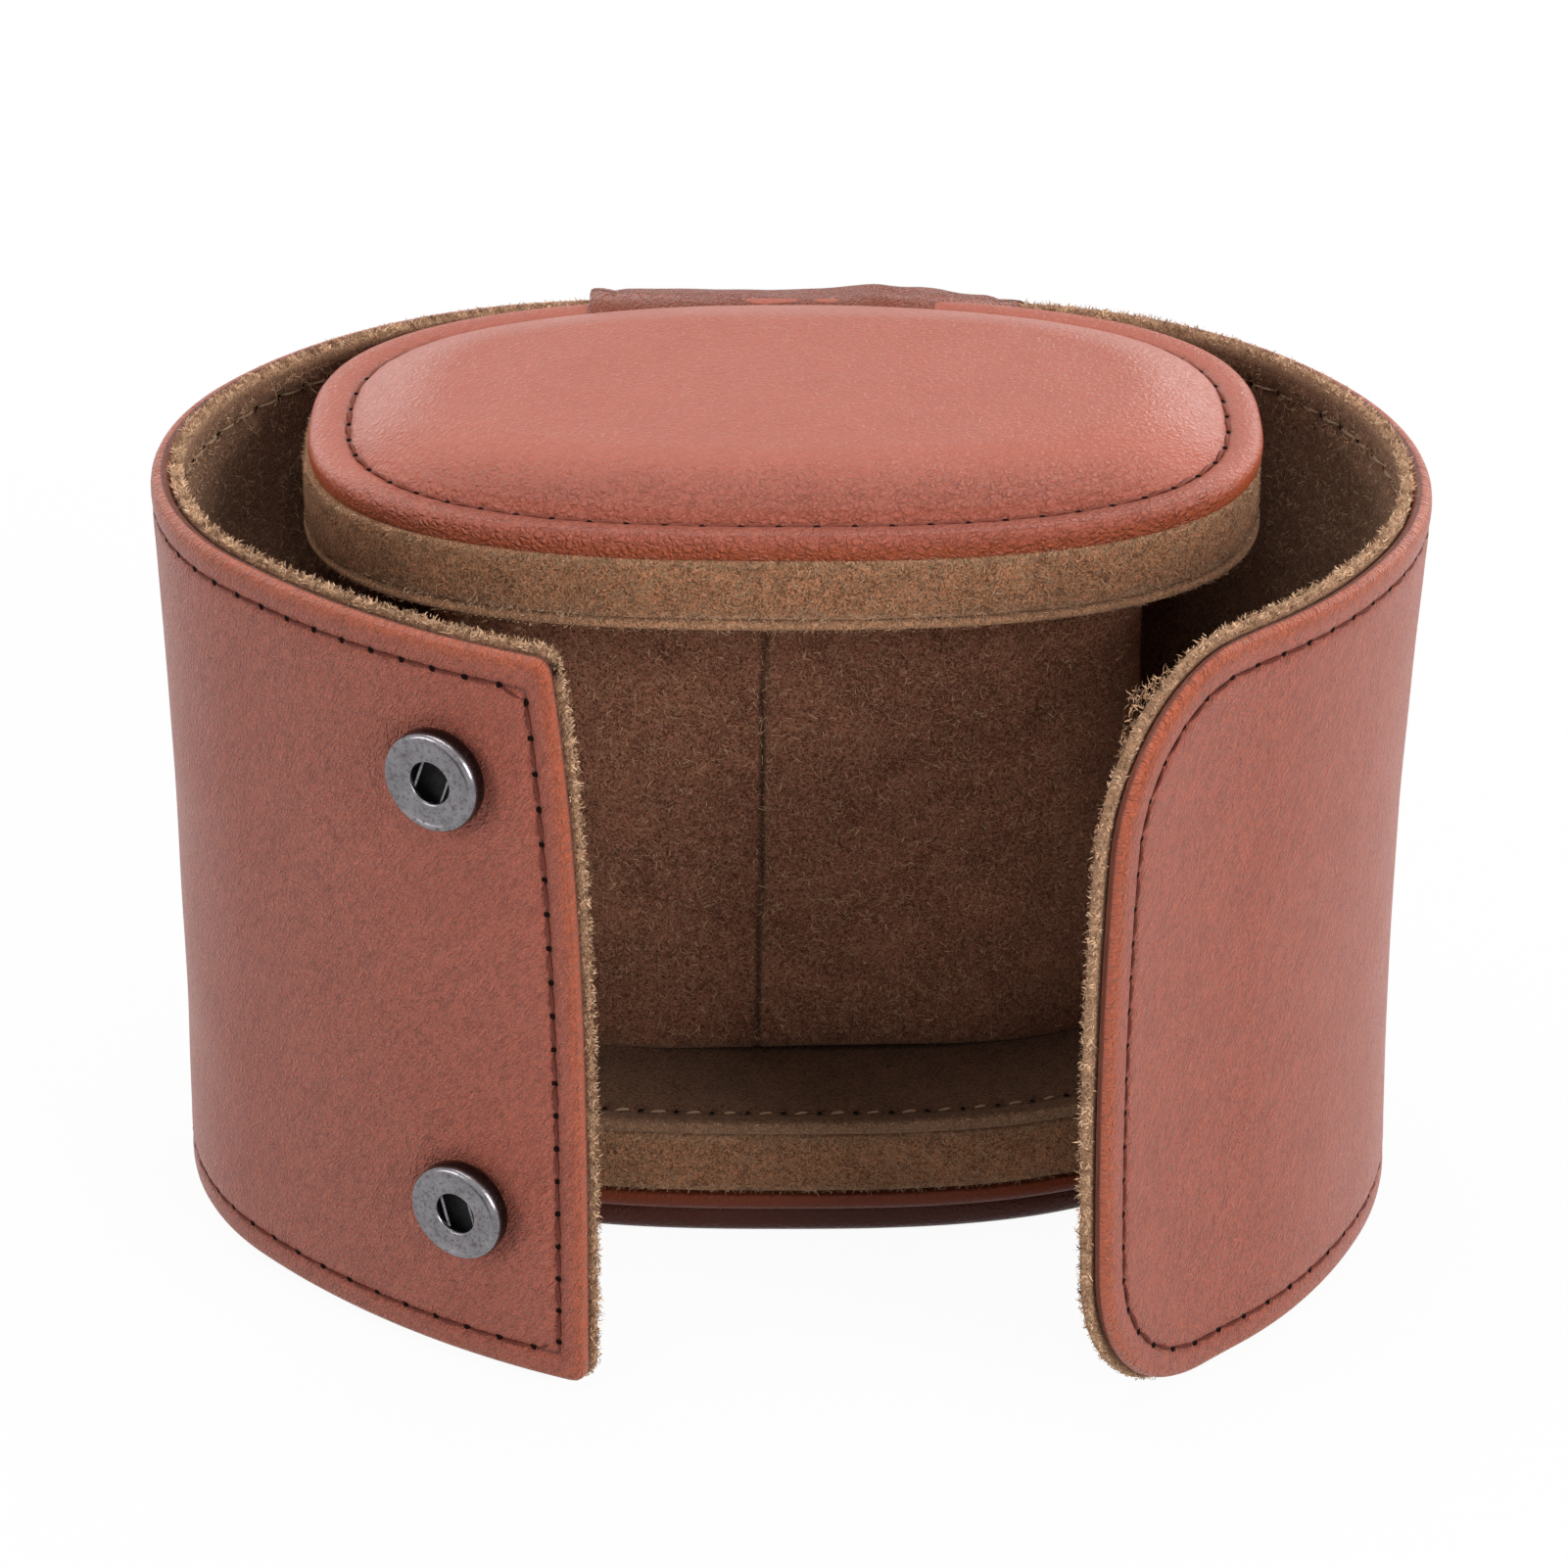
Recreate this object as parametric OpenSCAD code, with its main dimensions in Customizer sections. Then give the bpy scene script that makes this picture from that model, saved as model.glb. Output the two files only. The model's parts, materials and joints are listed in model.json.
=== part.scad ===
// Watch travel case: an oval spool that carries the watch, a hinged padded
// lid on the spool, and a stiffened leather wrap that closes round both with
// two spring snaps. +Z is up, the front is -Y, the origin is under the middle
// of the base on the surface that it stands on.

/* [Caps] */
// Width of the oval base and lid, side to side
cap_w = 100; // [92:1:112]
// Depth of the oval base and lid, front to back
cap_d = 59.8; // [54:0.2:68]
// Squareness of the oval: 2 is an ellipse, 4 is nearly a rectangle
cap_n = 2.63; // [2:0.01:4]
// Height of a cap's leather side, from the band to the top of its rolled rim
rim_h = 2.9; // [2.6:0.1:5]
// Height of the suede band between the leather and the inner disc
band_h = 6.8; // [4:0.1:10]
// Thickness of the suede-covered inner disc
disc_t = 1.5; // [1.2:0.1:3]
// Rise of the padded crown over the rim
dome = 3.9; // [2.5:0.1:6]
// Distance of the stitch channel from the edge of a cover
channel_inset = 3; // [2.6:0.1:5]
// Depth of the stitch channel
channel_depth = 0.3; // [0.1:0.05:0.6]
// Thickness of the suede band
band_t = 1; // [0.8:0.1:2]

/* [Core] */
// Height of the room for the watch, between the two inner discs
watch_room = 60.1; // [50:0.1:80]
// Width of the core, side to side
core_w = 76; // [60:1:80]
// Depth of the core, front to back
core_d = 30; // [24:0.5:36]
// Wall of the stiff inner tube
tube_t = 1.5; // [1:0.1:3]
// Thickness of the foam round the tube
padding_t = 2.5; // [1.5:0.1:5]
// Thickness of the suede sleeve
sleeve_t = 0.9; // [0.6:0.1:1.5]
// Thickness of the boards that close the tube
plug_t = 2; // [1.5:0.1:4]
// Place of the sleeve's butt seam, left of the middle
seam_x = 1.5; // [0:0.5:10]
// Gap of the butt seam
seam_gap = 0.3; // [0.2:0.1:0.6]

/* [Wrap] */
// Height of the wrap
wrap_h = 84.3; // [76:0.1:86]
// Height of the wrap's lower edge over the surface
wrap_lift = 1.3; // [1.2:0.1:2]
// Thickness of the outer leather
leather_t = 1.1; // [0.8:0.1:1.6]
// Thickness of the stiffener board
board_t = 1; // [0.8:0.1:1.6]
// Thickness of the suede lining
lining_t = 1.1; // [0.8:0.1:1.6]
// Height of the leather's turned edge
hem = 2; // [1.5:0.1:4]
// Gap between the back of the caps and the lining
back_gap = 0.4; // [0.3:0.1:1.5]

/* [Left flap, with the sockets] */
// Room between the caps and the widest place of the left side
left_room = 13.6; // [12:0.2:18]
// Radius of the back panel on the left
left_back_r = 190; // [150:5:260]
// Turn of the back panel on the left, in degrees
left_back_turn = 8; // [6:0.5:12]
// Turn of the rear corner on the left, in degrees
left_rear_turn = 49; // [44:1:54]
// Radius of the left side
left_side_r = 36; // [32:0.5:42]
// Turn of the left side, in degrees
left_side_turn = 75; // [66:1:80]
// Radius of the left flap's front
left_front_r = 95; // [80:1:140]
// Length of the left flap's front
left_front_len = 44; // [38:0.5:48]
// Distance of the rear fold from the middle of the back, along the wrap
left_rear_fold = 48; // [40:1:54]
// Distance of the side fold from the middle of the back, along the wrap
left_side_fold = 86; // [76:1:96]
// Radius of the left flap's corners
left_corner_r = 1.5; // [1:0.5:6]

/* [Right flap, with the studs] */
// Room between the caps and the widest place of the right side
right_room = 14.4; // [12:0.2:18]
// Radius of the back panel on the right
right_back_r = 170; // [150:5:260]
// Turn of the back panel on the right, in degrees
right_back_turn = 9.5; // [7:0.5:12]
// Turn of the rear corner on the right, in degrees
right_rear_turn = 58.8; // [54:0.2:61]
// Radius of the right side
right_side_r = 40.7; // [36:0.1:44]
// Turn of the right side, in degrees
right_side_turn = 48.7; // [44:0.1:52]
// Radius of the right flap's front quarter
right_front_r = 54.9; // [48:0.1:62]
// Turn of the right flap's front quarter, in degrees
right_front_turn = 23.3; // [18:0.1:27]
// Length of the right flap's end, which flares outwards
right_end_len = 24.9; // [22:0.1:30]
// Flare of the right flap's end, in degrees
right_flare = 17; // [8:0.2:22]
// Distance of the rear fold from the middle of the back, along the wrap
right_rear_fold = 46; // [38:1:52]
// Distance of the side fold from the middle of the back, along the wrap
right_side_fold = 76; // [66:1:90]
// Distance of the front fold from the middle of the back, along the wrap
right_front_fold = 138; // [126:1:142]
// Radius of the right flap's corners
right_corner_r = 18; // [6:0.5:22]

/* [Straps] */
// Width of the leather straps that join the caps to the wrap
strap_w = 49; // [36:1:56]
// Thickness of the straps, skived thin at the fold
strap_t = 0.9; // [0.7:0.1:1]
// Length of the straps down the outside of the wrap
strap_drop = 22; // [14:1:30]
// Height of the lid strap's fold over the wrap's top edge
fold_rise = 0.3; // [0.2:0.1:1]

/* [Snaps] */
// Height of the lower snap over the wrap's lower edge
snap_low = 18.7; // [15:0.1:24]
// Distance between the two snaps
snap_pitch = 50.5; // [40:0.1:53]
// Diameter of the sockets
socket_d = 10.9; // [9.6:0.1:12.5]
// Height of the sockets over the leather
socket_h = 1.9; // [1.8:0.1:2.6]
// Diameter of the sockets' mouth
mouth_d = 4.6; // [4.4:0.1:5.2]
// Distance of the sockets from the left flap's edge
socket_inset = 13.75; // [12:0.25:20]
// Diameter of the springs' wire
wire_d = 0.4; // [0.3:0.05:0.5]
// Tilt of the springs from upright, in degrees
spring_tilt = 15; // [-90:5:90]
// Diameter of the studs' foot
stud_foot_d = 8.4; // [7.6:0.1:10]
// Diameter of the studs' neck
stud_neck_d = 2.2; // [1.8:0.1:2.4]
// Diameter of the studs' head
stud_head_d = 3.2; // [3:0.1:3.6]
// Height of the studs over the lining
stud_h = 2.1; // [1.8:0.1:2.4]
// Distance of the studs from the right flap's edge
stud_inset = 9.2; // [8:0.1:12]

/* [Hidden] */

leather = "#b5614a";
suede = "#7a5637";
greyboard = "#8c8a85";
foam = "#d9cfbe";
cardboard = "#a98a62";
gunmetal = "#5b5b61";

// Clearances: between glued plies, at a fold, and where two pieces only meet
ply_gap = 0.05;
joint_gap = 0.3;
seat_gap = 0.2;
fold_gap = 0.4;
// Steps round an oval, and the longest step along the wrap
oval_steps = 72;
path_step = 2.5;
// Padded covers: open edge, roll of the rim, stitch channel, and the crown,
// which rises steeply at the channel and is flat in the middle
edge_r = 0.4;
rim_r = 1.3;
rim_min = 0.2;
channel_w = 0.9;
crown_run = 10.1;
crown_power = 1.7;
crown_steps = 7;
band_inset = 0.7;
// Straps: the fold's place in from the wrap's outer face, the tongue's seat on
// the roll of the lid's rim
fold_inset = 2.5;
tongue_seat = 0.15;
// Reach of the block that a flap is cut to
end_run = 90;
// Snaps: the barrel and post go through the wrap into a flat washer, which
// lies in the board with room for the wrap's curve
barrel_d = 5.6;
barrel_wall = 0.6;
washer_d = 8.2;
washer_gap = 0.16;
post_d = 2.4;
shell_t = 0.4;
shell_roll = 0.45;
lip_round = 0.15;
wire_inset = 0.65;
wire_room = 0.4;
foot_t = 0.45;
neck_h = 0.75;
head_slope = 0.25;
head_round = 0.3;

wall_t = leather_t + board_t + lining_t;
knuckle_r = wall_t/2;
cover_h = rim_h + dome;
disc_z = cover_h + band_h;
floor_z = disc_z + disc_t;
spool_h = 2*floor_z + watch_room;
core_h = watch_room - seat_gap;
wrap_top = wrap_lift + wrap_h;
back_y = cap_d/2 + back_gap + wall_t;
fold_z = wrap_top + fold_rise + strap_t/2;
fold_y = back_y - fold_inset;
snap_z = [wrap_lift + snap_low, wrap_lift + snap_low + snap_pitch];
// The base strap lies flat under the wrap and ends where the crown comes down
// to its upper face
strap_top = wrap_lift - seat_gap;
strap_tuck = channel_inset + channel_w - ply_gap
    + crown_run*(1 - pow(strap_top/dome, 1/crown_power));

// The wrap's plan is a chain of arcs, each [radius, turn in degrees], that
// starts in the middle of the back. A negative turn bends outwards.
function rear_r(x_out, r0, a0, turn, r2) =
    (x_out - r0*sin(a0) - r2*(1 - sin(a0 + turn))) / (sin(a0 + turn) - sin(a0));
left_x = cap_w/2 + left_room + wall_t;
right_x = cap_w/2 + right_room + wall_t;
left_path = [
    [left_back_r, left_back_turn],
    [rear_r(left_x, left_back_r, left_back_turn, left_rear_turn, left_side_r), left_rear_turn],
    [left_side_r, left_side_turn],
    [left_front_r, left_front_len/left_front_r*180/PI]];
right_path = [
    [right_back_r, right_back_turn],
    [rear_r(right_x, right_back_r, right_back_turn, right_rear_turn, right_side_r), right_rear_turn],
    [right_side_r, right_side_turn],
    [right_front_r, right_front_turn],
    [right_end_len/right_flare*180/PI, -right_flare]];

function arc_len(arc) = arc[0]*abs(arc[1])*PI/180;
function path_len(path, i = 0) = i == len(path) ? 0 : arc_len(path[i]) + path_len(path, i + 1);
// Point and heading of the wrap's outer face at a distance s along its path
function along(path, s, i = 0, p = [0, back_y, 0]) =
    let (arc = path[i],
        full = arc_len(arc),
        last = i == len(path) - 1,
        part = last ? s : min(s, full),
        turn = arc[1]*part/full,
        r = arc[0]*sign(arc[1]),
        a = p[2] + turn,
        q = [p[0] - r*(sin(a) - sin(p[2])), p[1] + r*(cos(a) - cos(p[2])), a])
    s <= full || last ? q : along(path, s - full, i + 1, q);
// The same point, moved a depth in from the outer face
function inward(path, s, depth) =
    let (p = along(path, s)) [p[0] + depth*sin(p[2]), p[1] - depth*cos(p[2])];
function stations(from, to) =
    let (n = max(1, ceil((to - from)/path_step))) [for (i = [0:n]) from + (to - from)*i/n];
function ply_outline(path, from, to, outer, inner) =
    let (s = stations(from, to)) concat(
        [for (i = [0:len(s) - 1]) inward(path, s[i], outer)],
        [for (i = [len(s) - 1:-1:0]) inward(path, s[i], inner)]);

left_len = path_len(left_path);
right_len = path_len(right_path);

// Outline of the caps, drawn in by an inset
function oval(w, d, inset = 0) = [for (i = [0:oval_steps - 1])
    let (c = cos(360*i/oval_steps), s = sin(360*i/oval_steps))
        [(w/2 - inset)*sign(c)*pow(abs(c), 2/cap_n), (d/2 - inset)*sign(s)*pow(abs(s), 2/cap_n)]];

module oval_plate(w, d, inset, z, h)
    translate([0, 0, z])
        linear_extrude(h)
            polygon(oval(w, d, inset));

module oval_ring(w, d, inset, wall, z, h)
    translate([0, 0, z])
        linear_extrude(h)
            difference() {
                polygon(oval(w, d, inset));
                polygon(oval(w, d, inset + wall));
            }

// A closed skin through a stack of ovals, each [height, inset]
module oval_loft(levels) {
    rings = [for (l = levels) [for (p = oval(cap_w, cap_d, l[1])) [p[0], p[1], l[0]]]];
    n = oval_steps;
    m = len(levels);
    polyhedron(
        points = [for (ring = rings) each ring],
        faces = concat(
            [[for (i = [0:n - 1]) i]],
            [for (k = [0:m - 2], i = [0:n - 1])
                [k*n + i, (k + 1)*n + i, (k + 1)*n + (i + 1)%n, k*n + (i + 1)%n]],
            [[for (i = [n - 1:-1:0]) (m - 1)*n + i]]));
}

// Profile of a padded cover from its open edge up, each [height, inset]. The
// lining of the cover is the same profile, shrunk by the leather.
function cover_levels(shrink, low) =
    let (rim = rim_h - shrink, r = max(rim_r - shrink, rim_min),
        crown = channel_inset + channel_w)
        concat(
            shrink == 0 ? [[0, edge_r], [edge_r, 0]] : [[low, shrink]],
            [for (a = [0:22.5:90]) [rim - r*(1 - sin(a)), shrink + r*(1 - cos(a))]],
            [[rim - channel_depth, channel_inset]],
            [for (k = [0:crown_steps]) let (t = k/crown_steps)
                [rim + dome*(1 - pow(1 - t, crown_power)), crown + crown_run*t]]);

module cover()
    difference() {
        oval_loft(cover_levels(0, 0));
        oval_loft(cover_levels(leather_t, -1));
    }

module pad()
    oval_loft(cover_levels(leather_t + ply_gap, board_t + ply_gap));

// What the base and the lid share, drawn upwards from the inner disc's face
module cap_board()
    oval_plate(cap_w, cap_d, leather_t + ply_gap, 0, board_t);
module cap_band()
    oval_ring(cap_w, cap_d, band_inset, band_t, -band_h, band_h);
module cap_filler()
    oval_plate(cap_w, cap_d, band_inset + band_t + ply_gap, -band_h, band_h);
module cap_disc()
    oval_plate(cap_w, cap_d, 0, -band_h - disc_t, disc_t);

module at_base()
    translate([0, 0, cover_h])
        mirror([0, 0, 1])
            children();
module at_lid()
    translate([0, 0, spool_h - cover_h])
        children();

module base_cover() color(leather) at_base() cover();
module base_pad() color(foam) at_base() pad();
module base_board() color(greyboard) at_base() cap_board();
module base_band() color(suede) at_base() cap_band();
module base_filler() color(foam) at_base() cap_filler();
module base_disc() color(suede) at_base() cap_disc();
module lid_cover() color(leather) at_lid() cover();
module lid_pad() color(foam) at_lid() pad();
module lid_board() color(greyboard) at_lid() cap_board();
module lid_band() color(suede) at_lid() cap_band();
module lid_filler() color(foam) at_lid() cap_filler();
module lid_disc() color(suede) at_lid() cap_disc();

// The core stands on the base's disc: sleeve over foam over a stiff tube,
// closed by a board at each end
tube_inset = sleeve_t + padding_t + 2*ply_gap;
plug_inset = tube_inset + tube_t + ply_gap;

module core_sleeve()
    color(suede)
        difference() {
            oval_ring(core_w, core_d, 0, sleeve_t, floor_z, core_h);
            translate([-seam_x - seam_gap/2, -core_d, floor_z - 1])
                cube([seam_gap, core_d, core_h + 2]);
        }
module core_padding()
    color(foam)
        oval_ring(core_w, core_d, sleeve_t + ply_gap, padding_t, floor_z, core_h);
module core_tube()
    color(cardboard)
        oval_ring(core_w, core_d, tube_inset, tube_t, floor_z, core_h);
module core_plug()
    color(cardboard)
        oval_plate(core_w, core_d, plug_inset, floor_z, plug_t);
module core_top()
    color(suede)
        oval_plate(core_w, core_d, plug_inset, floor_z + core_h - plug_t, plug_t);

// Straps
module lid_tongue()
    color(leather) {
        translate([0, 0, fold_z - strap_t/2])
            linear_extrude(strap_t)
                difference() {
                    translate([-strap_w/2, 0])
                        square([strap_w, fold_y]);
                    polygon(oval(cap_w, cap_d, tongue_seat));
                }
        translate([-strap_w/2, fold_y, fold_z])
            rotate([0, 90, 0])
                cylinder(h = strap_w, d = strap_t, $fn = 32);
    }

// Both halves of the back outline between two depths, as wide as a strap
module strap_plan(outer, inner)
    intersection() {
        union() {
            polygon(ply_outline(left_path, -path_step, strap_w/2 + 2*wall_t, outer, inner));
            mirror([1, 0])
                polygon(ply_outline(right_path, -path_step, strap_w/2 + 2*wall_t, outer, inner));
        }
        translate([-strap_w/2, 0])
            square([strap_w, back_y + wall_t]);
    }

module lid_strap()
    color(leather)
        difference() {
            union() {
                translate([0, 0, wrap_top - strap_drop])
                    linear_extrude(strap_drop + fold_rise + strap_t)
                        strap_plan(-ply_gap - strap_t, -ply_gap);
                translate([0, 0, fold_z - strap_t/2])
                    linear_extrude(strap_t)
                        intersection() {
                            strap_plan(-ply_gap - strap_t, wall_t);
                            translate([-strap_w/2, fold_y])
                                square([strap_w, wall_t*2]);
                        }
            }
            translate([-strap_w/2 - 1, fold_y, fold_z])
                rotate([0, 90, 0])
                    cylinder(h = strap_w + 2, r = strap_t/2 + fold_gap, $fn = 48);
        }

module base_strap()
    color(leather) {
        translate([0, 0, strap_top - strap_t])
            linear_extrude(strap_drop + strap_t)
                strap_plan(-ply_gap - strap_t, -ply_gap);
        translate([0, 0, strap_top - strap_t])
            linear_extrude(strap_t)
                difference() {
                    strap_plan(-ply_gap - strap_t, back_y/2);
                    polygon(oval(cap_w, cap_d, strap_tuck));
                }
    }

// A sheet of the wrap between two depths and two heights. It can start with a
// hollow round the fold before it and end with a knuckle round the next fold.
module sheet(path, from, to, outer, inner, low, high, hollow = false, knuckle = false)
    translate([0, 0, low])
        linear_extrude(high - low)
            difference() {
                polygon(ply_outline(path, from, to + (knuckle ? knuckle_r : 0), outer, inner));
                if (hollow)
                    translate(inward(path, from, wall_t/2))
                        circle(r = knuckle_r + joint_gap, $fn = 48);
                if (knuckle)
                    translate(inward(path, to, wall_t/2))
                        rotate(along(path, to)[2])
                            difference() {
                                translate([-2*wall_t, -2*wall_t])
                                    square([2*wall_t, 4*wall_t]);
                                circle(r = knuckle_r, $fn = 48);
                            }
            }

// Block that the free end of a flap is cut to, with its two corners rounded.
// The block is square to the wrap at its end and reaches past the whole flap.
module end_block(path, end, inset, r)
    translate(concat(inward(path, end, wall_t/2), [0]))
        rotate([90, 0, along(path, end)[2]])
            linear_extrude(2*end_run, center = true)
                let (low = wrap_lift + inset, high = wrap_top - inset) {
                    translate([inset + r, low])
                        square([end_run, high - low]);
                    translate([inset, low + r])
                        square([end_run, high - low - 2*r]);
                    for (z = [low + r, high - r])
                        translate([inset + r, z])
                            circle(r = r, $fn = 64);
                }

// The three plies of one stretch of the wrap. A stretch with a corner radius
// ends the wrap, the others end at a fold. The leather turns over the board
// at its edges, so its back is a window with a rim of leather and board height.
module leather_ply(path, from, to, hollow, corner_r = 0)
    difference() {
        shaped(path, to, 0, corner_r)
            sheet(path, from, to, 0, leather_t + board_t, wrap_lift, wrap_top,
                hollow, corner_r == 0);
        shaped(path, to, hem, corner_r)
            sheet(path, from - wall_t, corner_r > 0 ? to - hem : to + wall_t,
                leather_t, wall_t, wrap_lift + hem, wrap_top - hem);
    }
module board_ply(path, from, to, hollow, corner_r = 0)
    let (edge = hem + ply_gap)
        shaped(path, to, edge, corner_r)
            sheet(path, from, corner_r > 0 ? to - edge : to,
                leather_t + ply_gap, leather_t + board_t - ply_gap,
                wrap_lift + edge, wrap_top - edge, hollow, corner_r == 0);
module lining_ply(path, from, to, hollow, corner_r = 0)
    shaped(path, to, 0, corner_r)
        sheet(path, from, to, leather_t + board_t + ply_gap, wall_t, wrap_lift, wrap_top,
            hollow, corner_r == 0);
module shaped(path, to, inset, corner_r)
    if (corner_r > inset)
        intersection() {
            children();
            end_block(path, to, inset, corner_r - inset);
        }
    else
        children();

module both_sides()
    union() {
        children(0);
        mirror([1, 0, 0])
            children(1);
    }
module back_leather()
    color(leather)
        both_sides() {
            leather_ply(left_path, -ply_gap, left_rear_fold, false);
            leather_ply(right_path, -ply_gap, right_rear_fold, false);
        }
module back_board()
    color(greyboard)
        both_sides() {
            board_ply(left_path, -ply_gap, left_rear_fold, false);
            board_ply(right_path, -ply_gap, right_rear_fold, false);
        }
module back_lining()
    color(suede)
        both_sides() {
            lining_ply(left_path, -ply_gap, left_rear_fold, false);
            lining_ply(right_path, -ply_gap, right_rear_fold, false);
        }

module left_side_leather()
    color(leather) leather_ply(left_path, left_rear_fold, left_side_fold, true);
module left_side_board()
    color(greyboard) board_ply(left_path, left_rear_fold, left_side_fold, true);
module left_side_lining()
    color(suede) lining_ply(left_path, left_rear_fold, left_side_fold, true);

module left_flap_leather()
    color(leather)
        difference() {
            leather_ply(left_path, left_side_fold, left_len, true, left_corner_r);
            at_sockets()
                cylinder(h = 4*wall_t, d = barrel_d + 2*ply_gap, center = true, $fn = 48);
        }
module left_flap_board()
    color(greyboard)
        difference() {
            board_ply(left_path, left_side_fold, left_len, true, left_corner_r);
            at_sockets()
                cylinder(h = 4*wall_t, d = washer_d + 4*ply_gap, center = true, $fn = 48);
        }
module left_flap_lining()
    color(suede) lining_ply(left_path, left_side_fold, left_len, true, left_corner_r);

module right_side_leather()
    color(leather)
        mirror([1, 0, 0])
            leather_ply(right_path, right_rear_fold, right_side_fold, true);
module right_side_board()
    color(greyboard)
        mirror([1, 0, 0])
            board_ply(right_path, right_rear_fold, right_side_fold, true);
module right_side_lining()
    color(suede)
        mirror([1, 0, 0])
            lining_ply(right_path, right_rear_fold, right_side_fold, true);
module right_quarter_leather()
    color(leather)
        mirror([1, 0, 0])
            leather_ply(right_path, right_side_fold, right_front_fold, true);
module right_quarter_board()
    color(greyboard)
        mirror([1, 0, 0])
            board_ply(right_path, right_side_fold, right_front_fold, true);
module right_quarter_lining()
    color(suede)
        mirror([1, 0, 0])
            lining_ply(right_path, right_side_fold, right_front_fold, true);
module right_flap_leather()
    color(leather)
        mirror([1, 0, 0])
            leather_ply(right_path, right_front_fold, right_len, true, right_corner_r);
module right_flap_board()
    color(greyboard)
        mirror([1, 0, 0])
            difference() {
                board_ply(right_path, right_front_fold, right_len, true, right_corner_r);
                at_studs()
                    cylinder(h = 4*wall_t, d = washer_d + 4*ply_gap, center = true, $fn = 48);
            }
module right_flap_lining()
    color(suede)
        mirror([1, 0, 0])
            difference() {
                lining_ply(right_path, right_front_fold, right_len, true, right_corner_r);
                at_studs()
                    cylinder(h = 4*wall_t, d = post_d + 2*ply_gap, center = true, $fn = 48);
            }

// Snaps. Each child is drawn along +Z, which is set square to the wrap.
module at_sockets()
    for (z = snap_z)
        let (s = left_len - socket_inset)
            translate(concat(inward(left_path, s, 0), [z]))
                rotate([-90, 0, along(left_path, s)[2]])
                    children();
module at_studs()
    for (z = snap_z)
        let (s = right_len - stud_inset)
            translate(concat(inward(right_path, s, wall_t), [z]))
                rotate([90, 0, along(right_path, s)[2]])
                    children();

module socket_caps()
    color(gunmetal)
        at_sockets()
            let (rim = socket_d/2, bore = mouth_d/2, barrel = barrel_d/2,
                foot = -leather_t - board_t/2)
                rotate_extrude($fn = 64)
                    polygon([
                        [barrel - barrel_wall, foot],
                        [barrel, foot],
                        [barrel, ply_gap],
                        [rim - shell_roll, ply_gap],
                        [rim, ply_gap + shell_roll],
                        [rim, socket_h - shell_roll],
                        [rim - shell_roll, socket_h],
                        [bore + lip_round, socket_h],
                        [bore, socket_h - lip_round],
                        [bore, socket_h - shell_t],
                        [rim - shell_roll - shell_t, socket_h - shell_t],
                        [rim - shell_roll - shell_t, ply_gap + shell_t],
                        [barrel - barrel_wall, ply_gap + shell_t]]);

// Each spring is a racetrack of wire under the mouth's plate
spring_bend = mouth_d/2 - wire_inset;
spring_half = socket_d/2 - shell_roll - shell_t - wire_room - spring_bend;
module socket_springs()
    color(gunmetal)
        at_sockets()
            translate([0, 0, socket_h - shell_t - wire_d/2 - ply_gap])
                for (end = [0, 180])
                    rotate(end + spring_tilt) {
                        translate([spring_bend, -spring_half, 0])
                            rotate([-90, 0, 0])
                                cylinder(h = 2*spring_half, d = wire_d, $fn = 24);
                        translate([0, spring_half, 0])
                            rotate_extrude(angle = 180, $fn = 48)
                                translate([spring_bend, 0])
                                    circle(d = wire_d, $fn = 24);
                    }

module washer(hole)
    translate([0, 0, washer_gap])
        difference() {
            cylinder(h = board_t - 2*washer_gap, d = washer_d, $fn = 48);
            translate([0, 0, -1])
                cylinder(h = board_t + 2, d = hole, $fn = 48);
        }
module socket_backs()
    color(gunmetal)
        at_sockets()
            translate([0, 0, -leather_t - board_t])
                washer(barrel_d + 2*ply_gap);

module snap_studs()
    color(gunmetal)
        mirror([1, 0, 0])
            at_studs()
                rotate_extrude($fn = 64)
                    polygon([
                        [0, -lining_t - board_t/2],
                        [post_d/2, -lining_t - board_t/2],
                        [post_d/2, ply_gap],
                        [stud_foot_d/2, ply_gap],
                        [stud_foot_d/2, ply_gap + lip_round],
                        [stud_foot_d/2 - shell_roll, foot_t],
                        [stud_neck_d/2, foot_t],
                        [stud_neck_d/2, foot_t + neck_h],
                        [stud_head_d/2, foot_t + neck_h + head_slope],
                        [stud_head_d/2, stud_h - head_round],
                        [stud_head_d/2 - head_round, stud_h],
                        [0, stud_h]]);
module stud_backs()
    color(gunmetal)
        mirror([1, 0, 0])
            at_studs()
                translate([0, 0, -lining_t - board_t])
                    washer(post_d + 2*ply_gap);

base_cover();
base_pad();
base_board();
base_band();
base_filler();
base_disc();
base_strap();
core_plug();
core_tube();
core_padding();
core_sleeve();
core_top();
lid_cover();
lid_pad();
lid_board();
lid_band();
lid_filler();
lid_disc();
lid_tongue();
lid_strap();
back_leather();
back_board();
back_lining();
left_side_leather();
left_side_board();
left_side_lining();
left_flap_leather();
left_flap_board();
left_flap_lining();
right_side_leather();
right_side_board();
right_side_lining();
right_quarter_leather();
right_quarter_board();
right_quarter_lining();
right_flap_leather();
right_flap_board();
right_flap_lining();
socket_caps();
socket_springs();
socket_backs();
snap_studs();
stud_backs();
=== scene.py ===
# Watch travel case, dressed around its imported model. Sizes are in mm until a mesh is made.
import json
import math
import random

import bpy
import numpy as np
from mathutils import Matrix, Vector, noise

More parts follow.
